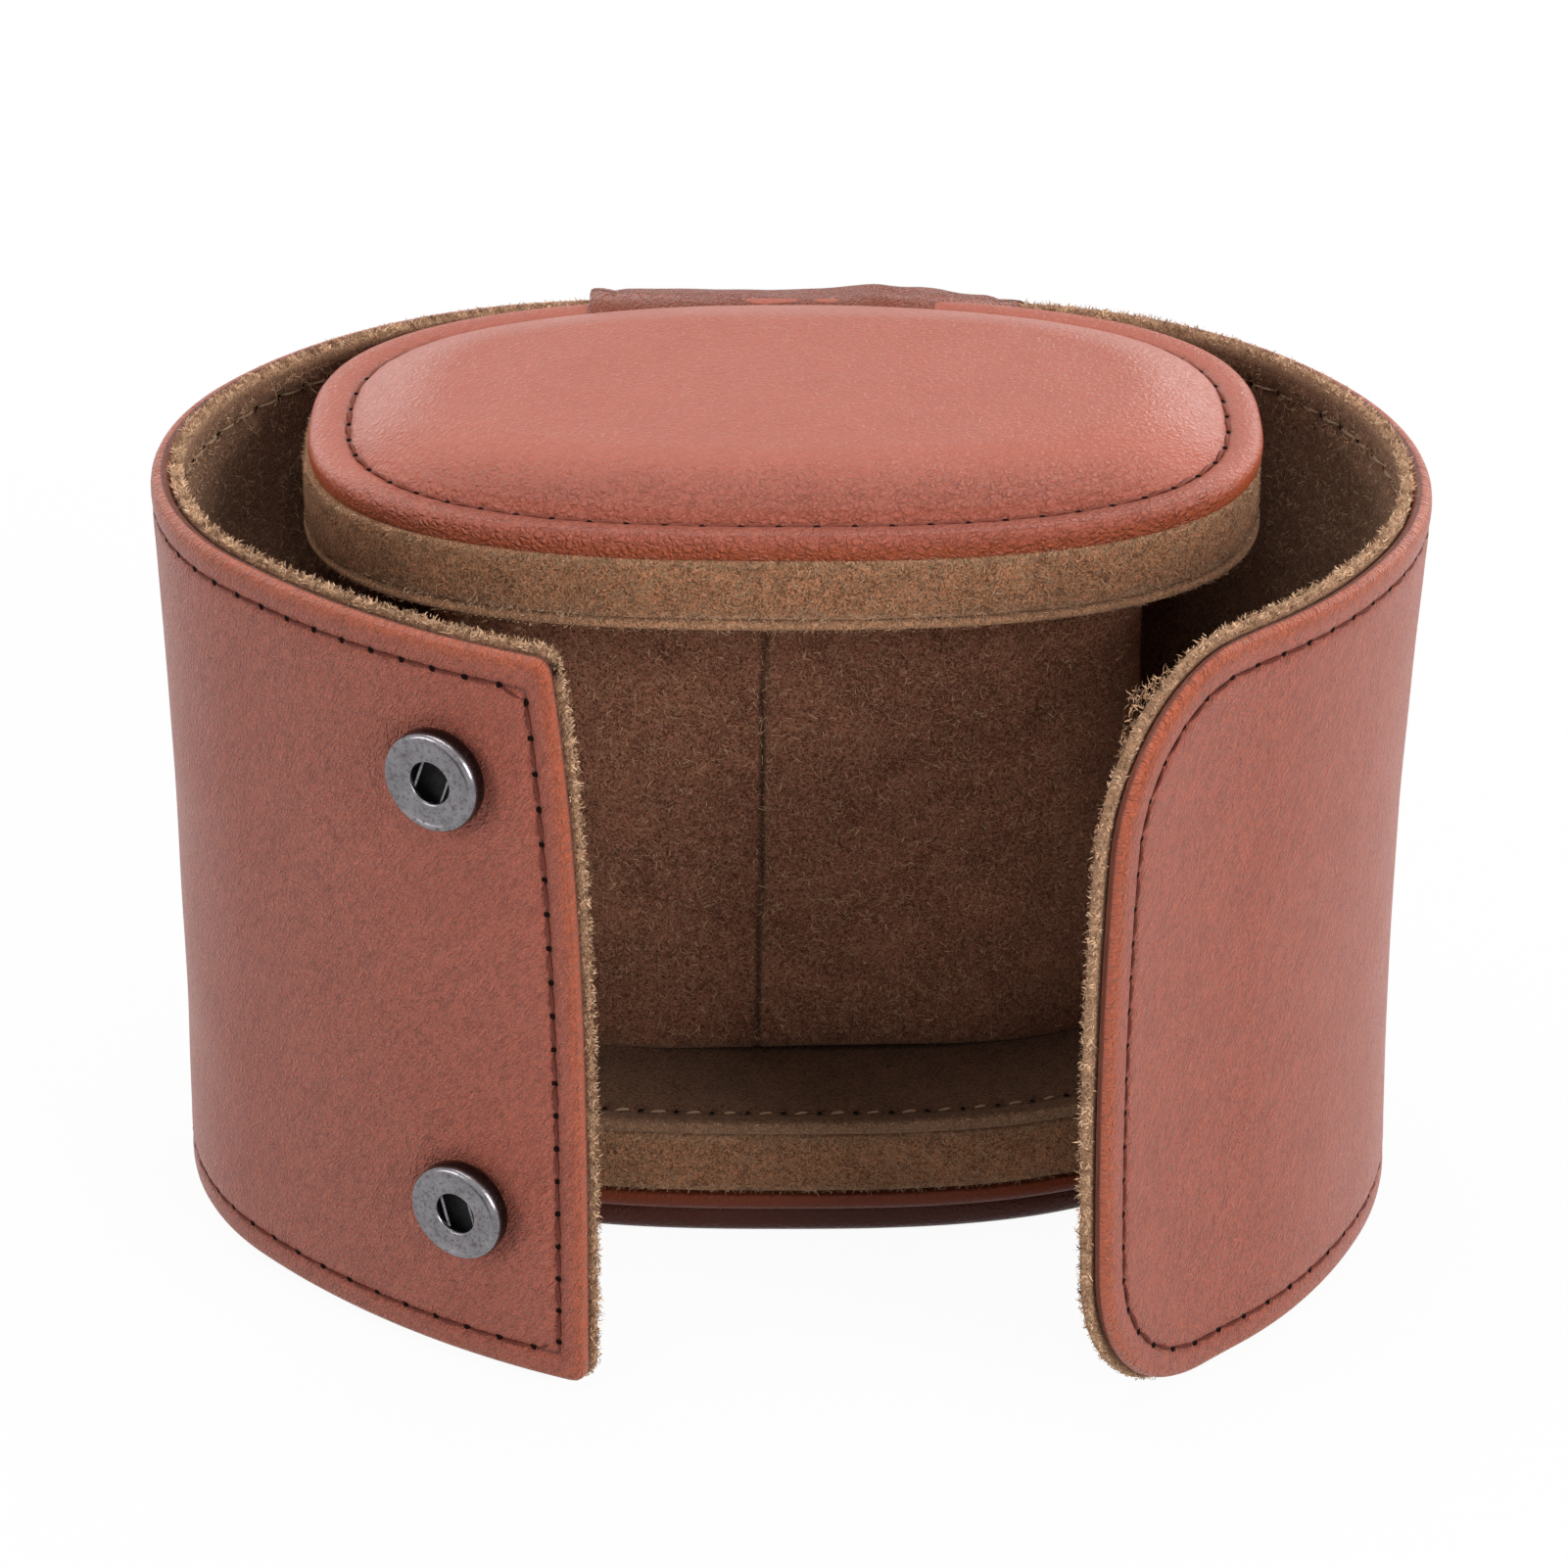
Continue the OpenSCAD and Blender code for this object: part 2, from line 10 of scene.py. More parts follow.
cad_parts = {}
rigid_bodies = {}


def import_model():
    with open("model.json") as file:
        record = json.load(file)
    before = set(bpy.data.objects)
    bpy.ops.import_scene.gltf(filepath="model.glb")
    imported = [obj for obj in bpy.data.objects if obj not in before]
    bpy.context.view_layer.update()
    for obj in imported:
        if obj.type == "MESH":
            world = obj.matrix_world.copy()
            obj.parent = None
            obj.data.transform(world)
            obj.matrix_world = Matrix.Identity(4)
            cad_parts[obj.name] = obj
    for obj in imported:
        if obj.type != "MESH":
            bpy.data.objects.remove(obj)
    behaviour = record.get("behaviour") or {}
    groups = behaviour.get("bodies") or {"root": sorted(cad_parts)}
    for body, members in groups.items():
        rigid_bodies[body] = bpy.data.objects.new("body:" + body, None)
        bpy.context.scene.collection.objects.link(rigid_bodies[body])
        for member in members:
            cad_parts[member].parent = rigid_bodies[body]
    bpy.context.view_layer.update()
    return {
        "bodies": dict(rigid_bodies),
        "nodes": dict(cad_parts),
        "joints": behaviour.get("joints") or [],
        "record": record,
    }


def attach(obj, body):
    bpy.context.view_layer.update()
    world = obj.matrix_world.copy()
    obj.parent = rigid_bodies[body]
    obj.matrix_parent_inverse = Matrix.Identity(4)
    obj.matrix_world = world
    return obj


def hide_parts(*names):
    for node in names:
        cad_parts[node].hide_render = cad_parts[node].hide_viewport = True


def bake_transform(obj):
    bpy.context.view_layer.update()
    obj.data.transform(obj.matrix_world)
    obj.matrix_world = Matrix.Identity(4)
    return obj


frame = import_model()
mm = 0.001
dice = random.Random(11)

# ---------------------------------------------------------------- view
view = {"lens": 127.4, "sensor": 36.0, "place": (0.0, -0.5409, 0.3364), "pitch": 61.35}
lamps = {  # name: place in m, size in m, power in W, colour
    "overhead": ((-0.05, 0.10, 0.95), 0.7, 4.7, (1.0, 1.0, 1.0)),
    "leftBox": ((-0.80, -0.45, 0.40), 0.5, 3.2, (1.0, 0.99, 0.98)),
    "rightBox": ((0.70, -0.62, 0.42), 0.5, 8.2, (1.0, 0.99, 0.98)),
    "leftRear": ((-0.48, 0.72, 0.34), 0.6, 2.2, (1.0, 1.0, 1.0)),
    "rightRear": ((0.50, 0.70, 0.34), 0.6, 3.0, (1.0, 1.0, 1.0)),
}
room = {"light": 0.36, "floorColour": (0.70, 0.70, 0.70, 1), "floorWhite": 0.95}


def aim(thing, target):
    thing.rotation_euler = (Vector(target) - thing.location).to_track_quat("-Z", "Y").to_euler()


def setStage():
    cameraData = bpy.data.cameras.new("camera")
    cameraData.lens, cameraData.sensor_width = view["lens"], view["sensor"]
    cameraData.clip_start, cameraData.clip_end = 0.01, 20
    camera = bpy.data.objects.new("camera", cameraData)
    bpy.context.scene.collection.objects.link(camera)
    camera.location = view["place"]
    camera.rotation_euler = (math.radians(view["pitch"]), 0, 0)
    bpy.context.scene.camera = camera
    for name, (place, size, power, colour) in lamps.items():
        lampData = bpy.data.lights.new(name, "AREA")
        lampData.size, lampData.energy, lampData.color = size, power, colour
        lamp = bpy.data.objects.new(name, lampData)
        bpy.context.scene.collection.objects.link(lamp)
        lamp.location = place
        aim(lamp, (0, 0, 0.045))
    bpy.context.scene.view_settings.view_transform = "Standard"


# ---------------------------------------------------------------- shader writing
class Signal:
    # a node's output; a sum of signals adds its Math nodes
    def __init__(self, finish, out):
        self.finish, self.out = finish, out

    def worked(self, operation, first, second):
        return self.finish.node("ShaderNodeMath", {"operation": operation}, {0: first, 1: second})

    def __add__(self, other):
        return self.worked("ADD", self, other)

    def __sub__(self, other):
        return self.worked("SUBTRACT", self, other)

    def __rsub__(self, other):
        return self.worked("SUBTRACT", other, self)

    def __mul__(self, other):
        return self.worked("MULTIPLY", self, other)

    __radd__ = __add__
    __rmul__ = __mul__


class Finish:
    # one material or the world; its texture space is in mm, from the flat cut or from the piece itself
    def __init__(self, name, byCut=False, kind=bpy.data.materials):
        self.block = kind.new(name)
        self.block.use_nodes = True
        self.tree = self.block.node_tree
        self.tree.nodes.clear()
        if byCut:
            place = self.node("ShaderNodeUVMap", {"uv_map": "cut"})
        else:
            place = self.node("ShaderNodeTexCoord", output="Object")
        self.place = self.node("ShaderNodeVectorMath", {"operation": "SCALE"}, {0: place, "Scale": 1000.0})

    def node(self, kind, settings=None, inputs=None, output=0):
        made = self.tree.nodes.new(kind)
        for key, value in (settings or {}).items():
            if key == "stops":
                for stop, (at, colour) in zip(self.stopsFor(made, len(value)), value):
                    stop.position, stop.color = at, colour
            else:
                setattr(made, key, value)
        for key, value in (inputs or {}).items():
            if isinstance(value, Signal):
                self.tree.links.new(value.out, made.inputs[key])
            else:
                made.inputs[key].default_value = value
        return Signal(self, made.outputs[output])

    def stopsFor(self, ramp, count):
        stops = ramp.color_ramp.elements
        while len(stops) < count:
            stops.new(0.5)
        return stops

    def speckle(self, size, detail=2.0, roughness=0.5, distortion=0.0):
        # noise from 0 to 1 whose lumps are about size mm wide
        return self.node("ShaderNodeTexNoise", {}, {
            "Vector": self.place, "Scale": 1.0 / size, "Detail": detail,
            "Roughness": roughness, "Distortion": distortion})

    def ramp(self, signal, low, high):
        return self.node("ShaderNodeMapRange", {"clamp": True}, {
            "Value": signal, "From Min": low, "From Max": high})

    def painted(self, name):
        # a value kept on the mesh's points
        return self.node("ShaderNodeAttribute", {"attribute_name": name}, output="Fac")

    def mix(self, factor, first, second):
        return self.node("ShaderNodeMix", {"data_type": "RGBA"}, {0: factor, 6: first, 7: second}, output=2)

    def bump(self, height, distance, strength=1.0, under=None):
        inputs = {"Height": height, "Distance": distance * mm, "Strength": strength}
        if under is not None:
            inputs["Normal"] = under
        return self.node("ShaderNodeBump", {}, inputs)

    def cover(self, shader, kind="ShaderNodeOutputMaterial"):
        out = self.tree.nodes.new(kind)
        self.tree.links.new(shader.out, out.inputs["Surface"])
        return self.block

    def surface(self, **inputs):
        names = {"colour": "Base Color", "roughness": "Roughness", "metallic": "Metallic",
                 "normal": "Normal", "sheen": "Sheen Weight", "sheenTint": "Sheen Tint",
                 "sheenRoughness": "Sheen Roughness", "specular": "Specular IOR Level"}
        return self.cover(self.node("ShaderNodeBsdfPrincipled", {}, {names[k]: v for k, v in inputs.items()}))

    def seen(self, *rays):
        # 1 where one of these kinds of ray meets the surface
        first, *others = (self.node("ShaderNodeLightPath", output="Is %s Ray" % ray) for ray in rays)
        return self.node("ShaderNodeMath", {"operation": "ADD", "use_clamp": True}, {
            0: first, 1: sum(others[1:], others[0])})


def toned(colour, by):
    return tuple(np.multiply(colour[:3], by)) + (1,)


# the leather's colours; its shaded orange is painted shade, laid where edges and the caps' rim sides turn
# away from the light
leather = {
    "colour": (0.425, 0.104, 0.060, 1), "deep": (0.25, 0.050, 0.027, 1), "rolled": (0.40, 0.082, 0.028, 1),
    # near black, painted as shade in needle holes, stitch creases and under the base's rim
    "hole": (0.012, 0.003, 0.002, 1), "roughness": 0.36, "shine": 0.34,
}
# each hide: the width of a ridge, its stretch and lie, its depth, how dark a crease is painted (the grain's
# own tone with painted shade in the creases), and the pale haze that it shows at a slant
capGrain = {"ridge": 0.66, "stretch": (1.4, 1.0, 1.1), "lie": 0.6, "haze": 0.0}
hides = {
    "wrap": {"ridge": 0.46, "stretch": (2.6, 0.85, 1.0), "lie": 1.0, "haze": 0.12, "depth": 0.5,
             "crease": 0.3},
    "cap": dict(capGrain, depth=0.13, crease=0.12),
    "base": dict(capGrain, depth=0.1, crease=0.1),
}


def leatherFinish(name, hide, byCut, shade=1.0):
    f = Finish(name, byCut)
    hide = hides[hide]
    full, deep, rolled = (toned(leather[k], shade) for k in ("colour", "deep", "rolled"))
    clouds = f.speckle(9.0, 3.0)
    lie = f.node("ShaderNodeMapping", {"vector_type": "TEXTURE"}, {
        "Vector": f.place, "Rotation": (0, 0, hide["lie"]), "Scale": hide["stretch"]})
    warp = f.node("ShaderNodeVectorMath", {"operation": "ADD"}, {
        0: lie, 1: f.node("ShaderNodeVectorMath", {"operation": "SCALE"}, {
            0: f.node("ShaderNodeTexNoise", {}, {"Vector": f.place, "Scale": 1.3, "Detail": 3.0}, output=1),
            "Scale": 0.9})})
    pebbles = f.node("ShaderNodeTexVoronoi", {"feature": "DISTANCE_TO_EDGE"}, {
        "Vector": warp, "Scale": 1.0 / hide["ridge"]})
    creases = f.ramp(pebbles, 0.0, 0.4)
    fine = f.speckle(0.22, 2.0)
    ridges = f.node("ShaderNodeTexNoise", {}, {"Vector": warp, "Scale": 0.5 / hide["ridge"], "Detail": 3.0,
                                               "Roughness": 0.6})
    colour = f.mix(f.ramp(clouds, 0.35, 0.7) * 0.12, full, deep)
    # the creases and the ridges' low parts are darkened: the grain's own tone, and painted shade in them
    colour = f.mix((1 - creases) * hide["crease"] + f.ramp(ridges, 0.56, 0.36) * hide["crease"], colour, deep)
    # painted shade: the shaded orange, where the mesh marks it
    colour = f.mix(f.painted("rolled"), colour, rolled)
    # painted shade: near black at needle holes, stitch creases and under the base's rim
    colour = f.mix(f.painted("hole"), colour, leather["hole"])
    relief = creases * 0.7 + fine * 0.25 + ridges * 0.7
    skin = f.bump(relief * (f.painted("coarse") * 4.0 + 0.9), hide["depth"], 0.95)
    shell = f.bump(f.speckle(2.6, 2.0), 0.05, 0.3, skin)
    rough = leather["roughness"] + (fine - 0.5) * 0.18 + (clouds - 0.5) * 0.12
    shine = leather["shine"] * min(1, shade * 1.2)
    return f.surface(colour=colour, roughness=rough, normal=shell, specular=shine,
                     sheen=hide["haze"], sheenTint=(1.0, 0.96, 0.96, 1), sheenRoughness=0.35)


suede = {
    "dark": (0.07, 0.030, 0.014, 1), "light": (0.34, 0.172, 0.092, 1), "edge": (0.60, 0.36, 0.215, 1),
    # near black, painted as shade in needle holes and gaps; the sleeve's seam line takes it too
    "hole": (0.012, 0.006, 0.004, 1),
}
# how each suede part differs from that brown, as painted light and shade: the lining darker, in the wrap's
# shade;
# the sleeve darker and redder, in shade and the leather's bounce; the base's floor darkest, in the shade
# round the core's foot; the band lightest
lightAndShadeTints = {"lining": (0.72, 0.62, 0.68), "sleeve": (1.22, 0.98, 1.08), "band": (1.38, 1.2, 1.12),
         "floor": (0.5, 0.42, 0.42)}


def suedeFinish(name, tint, byCut):
    f = Finish(name, byCut)
    dark, light, edge = (toned(suede[k], lightAndShadeTints[tint]) for k in ("dark", "light", "edge"))
    strokes = f.speckle(6.0, 3.0, 0.6, 0.6)
    curls = f.speckle(0.55, 2.0, 0.6, 2.4)
    hairs = f.speckle(0.22, 2.0, 0.6)
    nap = f.ramp(curls * 0.72 + strokes * 0.16 + hairs * 0.12, 0.43, 0.60)
    colour = f.mix(nap, dark, light)
    colour = f.mix(f.ramp(hairs, 0.45, 0.75) * 0.3, colour, edge)
    raw = f.mix(f.ramp(curls, 0.4, 0.6), toned(suede["edge"], 0.55), suede["edge"])
    # the raw edges' paler colour where the mesh marks it: the nap's own colour, and at the disc's lip painted
    # light too
    colour = f.mix(f.painted("fuzz") * 0.8, colour, raw)
    # painted shade: near black at needle holes and where the plies part; the sleeve's seam line too
    colour = f.mix(f.painted("hole"), colour, suede["hole"])
    skin = f.bump(hairs, 0.12, 0.6)
    shell = f.bump(curls, 0.4, 0.8, skin)
    return f.surface(colour=colour, roughness=0.95, normal=shell, specular=0.12, sheen=0.35,
                     sheenTint=(0.75, 0.55, 0.38, 1), sheenRoughness=0.45)


def holeFinish():
    # near black, painted as the shade inside the needle holes
    f = Finish("needle holes")
    colour = f.mix(f.speckle(0.3, 2.0), (0.004, 0.0015, 0.001, 1), (0.014, 0.005, 0.004, 1))
    return f.surface(colour=colour, roughness=0.95, specular=0.05)


def fibreFinish(name, dark, light):
    f = Finish(name, True)
    colour = f.mix(f.ramp(f.speckle(0.9, 2.0), 0.35, 0.65), dark, light)
    return f.surface(colour=colour, roughness=0.9, specular=0.1)


def threadFinish(name, dark, light):
    f = Finish(name)
    twist = f.node("ShaderNodeTexWave", {"wave_type": "BANDS", "bands_direction": "DIAGONAL"}, {
        "Vector": f.place, "Scale": 2.2, "Distortion": 1.0})
    colour = f.mix(f.speckle(0.4, 2.0) * 0.6 + twist * 0.4, dark, light)
    return f.surface(colour=colour, roughness=0.7, normal=f.bump(twist, 0.12, 0.9), specular=0.3)


def boardFinish(name, dark, light, size):
    f = Finish(name)
    colour = f.mix(f.ramp(f.speckle(size, 4.0, 0.7), 0.3, 0.7), dark, light)
    return f.surface(colour=colour, roughness=0.92, normal=f.bump(f.speckle(size / 3, 2.0), 0.1, 0.5),
                     specular=0.2)


def gunmetalFinish():
    f = Finish("gunmetal")
    smear = f.speckle(1.6, 3.0, 0.6)
    scratches = f.node("ShaderNodeTexNoise", {}, {
        "Vector": f.node("ShaderNodeVectorMath", {"operation": "MULTIPLY"}, {
            0: f.place, 1: (9.0, 0.8, 1.2)}), "Scale": 1.0, "Detail": 3.0})
    pits = f.ramp(f.speckle(0.45, 3.0, 0.7), 0.36, 0.5)
    colour = f.mix(smear, (0.12, 0.11, 0.118, 1), (0.32, 0.305, 0.325, 1))
    colour = f.mix((1 - pits) * 0.55, colour, (0.04, 0.03, 0.03, 1))
    # painted shade and dark reflection on the side wall and on the arc of the bevel
    colour = f.mix(f.painted("bevel"), colour, (0.022, 0.017, 0.018, 1))
    rough = 0.13 + smear * 0.12 + f.ramp(scratches, 0.55, 0.7) * 0.1 + (1 - pits) * 0.2
    worn = f.bump(scratches + pits, 0.012, 0.4)
    return f.surface(colour=colour, roughness=rough, metallic=1.0, normal=worn)


def stageFinish():
    f = Finish("paper floor")
    paper = f.node("ShaderNodeBsdfDiffuse", {}, {
        "Color": f.mix(f.speckle(0.4) * 0.1, room["floorColour"], (0.9, 0.9, 0.9, 1))})
    glow = f.node("ShaderNodeEmission", {}, {"Color": (1, 1, 1, 1), "Strength": 1.0})
    white = f.seen("Camera", "Glossy", "Transmission") * room["floorWhite"]
    return f.cover(f.node("ShaderNodeMixShader", {}, {0: white, 1: paper, 2: glow}))


def roomFinish():
    # a soft light all round, which looks white to the camera and in the metal
    f = Finish("studio", kind=bpy.data.worlds)
    lit, white = (f.node("ShaderNodeBackground", {}, {"Color": (1, 1, 1, 1), "Strength": strength})
                  for strength in (room["light"], 1.0))
    seen = f.seen("Camera", "Glossy")
    return f.cover(f.node("ShaderNodeMixShader", {}, {0: seen, 1: lit, 2: white}), "ShaderNodeOutputWorld")


# ---------------------------------------------------------------- mesh writing
def lumps(points, size, seed=0.0):
    # smooth noise, -1 to 1, at points in mm
    return np.array([noise.noise(Vector((p[0] / size + seed, p[1] / size - seed, p[2] / size)))
                     for p in np.asarray(points, float)])


def hump(away, width, power=2):
    # 1 at 0, falling away over a width on both sides
    return np.exp(-(away / width) ** power)


def ramped(value, start, run):
    # 0 up to the start, 1 from a run later; a minus run falls the other way
    return np.clip((value - start) / run, 0, 1)


def unit(ways):
    return ways / np.linalg.norm(ways, axis=-1, keepdims=True)


def upright(flatWays):
    # level directions in the plane as directions in space
    return np.column_stack([flatWays, np.zeros(len(flatWays))])


def runAlong(line):
    return np.concatenate([[0], np.cumsum(np.linalg.norm(np.diff(line, axis=0), axis=1))])


def makePiece(name, points, faces, material, cut=None, marks=None):
    mesh = bpy.data.meshes.new(name)
    mesh.from_pydata((np.asarray(points, float) * mm).tolist(), [], [tuple(map(int, f)) for f in faces])
    mesh.polygons.foreach_set("use_smooth", np.ones(len(mesh.polygons), bool))
    if cut is not None:
        layer = mesh.uv_layers.new(name="cut")
        corner = np.zeros(len(mesh.loops), np.int32)
        mesh.loops.foreach_get("vertex_index", corner)
        layer.data.foreach_set("uv", (np.asarray(cut, float)[corner] * mm).astype(np.float32).ravel())
    for key, values in (marks or {}).items():
        mesh.attributes.new(key, "FLOAT", "POINT").data.foreach_set(
            "value", np.clip(values, 0, 1).astype(np.float32))
    mesh.materials.append(material)
    mesh.update()
    piece = bpy.data.objects.new(name, mesh)
    bpy.context.scene.collection.objects.link(piece)
    return piece


def gridFaces(rows, columns, closed=False, start=0):
    last = columns if closed else columns - 1
    faces = []
    for r in range(rows - 1):
        for c in range(last):
            a, b = start + r * columns + c, start + r * columns + (c + 1) % columns
            faces.append((a, b, b + columns, a + columns))
    return faces


def facing(points, faces, outs):
    # turns all faces over if they look away from the outward directions
    total = 0.0
    for face in faces[::7]:
        a, b, c = (points[face[k]] for k in (0, 1, 2))
        total += float(np.dot(np.cross(b - a, c - b), outs[face[0]]))
    return [tuple(f[::-1]) for f in faces] if total < 0 else faces


def spaced(points, gap, closed=False):
    # points a gap apart along a line, the gap stretched to fit a whole number
    line = np.asarray(points, float)
    if closed:
        line = np.vstack([line, line[:1]])
    run = runAlong(line)
    count = max(1, round(run[-1] / gap))
    at = np.linspace(0, run[-1], count + 1)
    if closed:
        at = at[:-1]
    return np.stack([np.interp(at, run, line[:, k]) for k in range(line.shape[1])], axis=1)


def holeMarks(flat, holes, size):
    # 1 at a hole's middle, falling to 0 over its size
    near = np.full(len(flat), 1e9)
    for start in range(0, len(flat), 4000):
        part = flat[start:start + 4000]
        gaps = np.linalg.norm(part[:, None, :] - holes[None, :, :], axis=2)
        near[start:start + 4000] = gaps.min(axis=1)
    return hump(near, size)


thread = {"radius": 0.23, "flat": 0.85, "sides": 7, "steps": 8, "dip": 0.42, "rise": 0.1, "slant": 0.16,
          "reach": 0.47}


def threadRun(name, starts, ends, outs, material, slant=1.0, fine=1.0):
    # one arched length of thread for each stitch, from hole to hole
    points, faces = [], []
    sides, steps = thread["sides"], thread["steps"]
    for a, b, out in zip(starts, ends, outs):
        along = b - a
        span = np.linalg.norm(along)
        if span < 1e-6:
            continue
        along = along / span
        across = unit(np.cross(out, along))
        base = len(points)
        wide = thread["radius"] * fine * (1 + 0.2 * dice.uniform(-1, 1))
        lean = thread["slant"] * slant * (1 + 0.3 * dice.uniform(-1, 1))
        for k in range(steps + 1):
            t = k / steps
            mid = (a + b) / 2 + along * span * thread["reach"] * (2 * t - 1)
            arch = math.sin(math.pi * t) ** 0.6
            mid = mid + out * (arch * (thread["dip"] + thread["rise"]) - thread["dip"])
            mid = mid + across * lean * (2 * t - 1)
            girth = wide * (0.7 + 0.3 * arch)
            for s in range(sides):
                turn = 2 * math.pi * s / sides
                points.append(mid + across * math.cos(turn) * girth
                              + out * math.sin(turn) * girth * thread["flat"])
        faces += gridFaces(steps + 1, sides, True, base)
        faces.append(tuple(base + s for s in range(sides - 1, -1, -1)))
        faces.append(tuple(base + steps * sides + s for s in range(sides)))
    return makePiece(name, points, faces, material)


def needleHoles(name, spots, alongs, outs, material, radius=0.3):
    # a dark ragged wedge at each place a thread goes in, painted as the shade in the hole
    points, faces = [], []
    for spot, along, out in zip(spots, alongs, outs):
        across = np.cross(out, along)
        base = len(points)
        for k in range(9):
            turn = 2 * math.pi * k / 9
            reach = radius * (1 + 0.28 * dice.uniform(-1, 1)) * (1.9 if k in (2, 3) else 1.0)
            points.append(spot + along * math.cos(turn) * reach * 1.15 + across * math.sin(turn) * reach * 0.9
                          - out * 0.1)
        points.append(spot)
        faces += [(base + k, base + (k + 1) % 9, base + 9) for k in range(9)]
    return makePiece(name, points, facing(np.array(points), faces, np.repeat(outs, 10, axis=0)), material)


def anyWay():
    return Vector((dice.uniform(-1, 1), dice.uniform(-1, 1), dice.uniform(-1, 1)))


def fibreTuft(points, faces, cuts, root, out, side, cut, length, width):
    # one hair: a tapering strip that bends sideways
    base = len(points)
    lean = (out + side * dice.uniform(-0.9, 0.9) + anyWay() * 0.45).normalized()
    bend = side * dice.uniform(-0.5, 0.5) * length
    flat = lean.cross(anyWay()).normalized()
    middle = root + lean * length * 0.55 + bend * 0.3
    tip = root + lean * length + bend
    for place, half in ((root, width), (middle, width * 0.7)):
        points.append(place - flat * half)
        points.append(place + flat * half)
    points.append(tip)
    cuts += [cut] * 5
    faces.append((base, base + 1, base + 3, base + 2))
    faces.append((base + 2, base + 3, base + 4))


# ---------------------------------------------------------------- the wrap's plan
wrap = {
    "backY": 33.5, "lift": 1.3, "height": 84.3, "leftReach": 66.8, "rightReach": 67.6,
    "pitch": 3.95, "stitchIn": 3.3, "rows": 34, "grid": 0.55, "cornerReach": 7.6,
}
# how the wrap hangs: wider at its foot and top and narrower at its waist; a flap's end further along at its
# foot, over its height and at its top corner (last: how near the corner); its seam's shift, its bottom
# edge's drop (from and over which length), how far that edge comes forward, its top edge's rise, and how
# much of the lining's reach past the leather it has
hang = {"left": {"foot": -0.35, "top": 0.0, "waist": 0.6, "end": (0.35, -0.4, -1.95, 5), "seam": 0.45,
                 "drop": 0.5, "sag": (60, 30), "forward": 0.0, "rise": 0.4, "reach": 0.3},
        "right": {"foot": -0.65, "top": 0.4, "waist": 1.1, "end": (-3.25, 1.5, -2.5, 12), "seam": 0.0,
                  "drop": 1.1, "sag": (96, 44), "forward": 1.6, "rise": -0.3, "reach": 0.85}}


class WrapPlan:
    # a chain of arcs, (radius, turn in degrees), from the middle of the back; a minus turn bends outwards
    def __init__(self, side, reach, arcs):
        (backRadius, backTurn), rearTurn, rest = arcs
        a0, a1 = math.radians(backTurn), math.radians(backTurn + rearTurn)
        rear = (reach - backRadius * math.sin(a0) - rest[0][0] * (1 - math.sin(a1))) / (
            math.sin(a1) - math.sin(a0))
        self.side = side
        self.way = hang["left" if side > 0 else "right"]
        self.arcs = [(backRadius, backTurn), (rear, rearTurn)] + rest
        self.stops, self.heads, self.starts, self.radii = [0.0], [0.0], [(0.0, wrap["backY"])], []
        for radius, turn in self.arcs:
            bend = math.copysign(radius, turn)
            head = self.heads[-1] + math.radians(turn)
            x, y = self.starts[-1]
            self.starts.append((x - bend * (math.sin(head) - math.sin(self.heads[-1])),
                                y + bend * (math.cos(head) - math.cos(self.heads[-1]))))
            self.stops.append(self.stops[-1] + radius * math.radians(abs(turn)))
            self.heads.append(head)
            self.radii.append(bend)
        self.length = self.stops[-1]

    def frameAt(self, s):
        s = np.asarray(s, float)
        k = np.clip(np.searchsorted(self.stops, s, side="right") - 1, 0, len(self.arcs) - 1)
        stops, heads, radii = np.array(self.stops)[k], np.array(self.heads)[k], np.array(self.radii)[k]
        starts = np.array(self.starts)[k]
        a = heads + (s - stops) / radii
        x = starts[..., 0] - radii * (np.sin(a) - np.sin(heads))
        y = starts[..., 1] + radii * (np.cos(a) - np.cos(heads))
        return x, y, a

    def place(self, s, z, depth):
        # points of the flat cut at a depth in from the wrap's outer face
        way = self.way
        up = np.clip((np.asarray(z, float) - low) / wrap["height"], -0.05, 1.05)
        inUp = np.clip(up, 0, 1)
        tip = ramped(s, self.length - 50, 50) ** 1.5
        base, slope, corner, near = way["end"]
        sag = ramped(s, *way["sag"])
        sag = sag * sag * (3 - 2 * sag) * (1 - inUp) ** 4
        s = s + way["seam"] * np.interp(self.length - s, [-1, 0, 3.3, 8], [0, 0, 1, 0])
        s = s + (base + slope * up + corner * inUp ** near) * tip
        x, y, a = self.frameAt(s)
        x, y = x + depth * np.sin(a), y - depth * np.cos(a)
        flare = way["foot"] * (1 - up) + way["top"] * up - way["waist"] * np.sin(np.pi * inUp)
        x = x - flare * ramped(s, 35, 40)
        y = y - way["forward"] * sag
        z = z + way["rise"] * tip * inUp ** 3 - way["drop"] * sag
        z = np.maximum(z, 0.1)
        return np.stack([self.side * x, y, z + 0 * x], axis=-1)

    def outward(self, s):
        a = self.frameAt(s)[2]
        return np.stack([-self.side * np.sin(a), np.cos(a), 0 * a], axis=-1)

    def forward(self, s):
        a = self.frameAt(s)[2]
        return np.stack([-self.side * np.cos(a), -np.sin(a), 0 * a], axis=-1)


leftPlan = WrapPlan(1, wrap["leftReach"], [(190, 8), 49, [(36, 75), (95, math.degrees(44 / 95))]])
rightPlan = WrapPlan(-1, wrap["rightReach"], [(170, 9.5), 58.8, [
    (40.7, 48.7), (54.9, 23.3), (math.degrees(24.9 / 17), -17)]])

low, high = wrap["lift"], wrap["lift"] + wrap["height"]
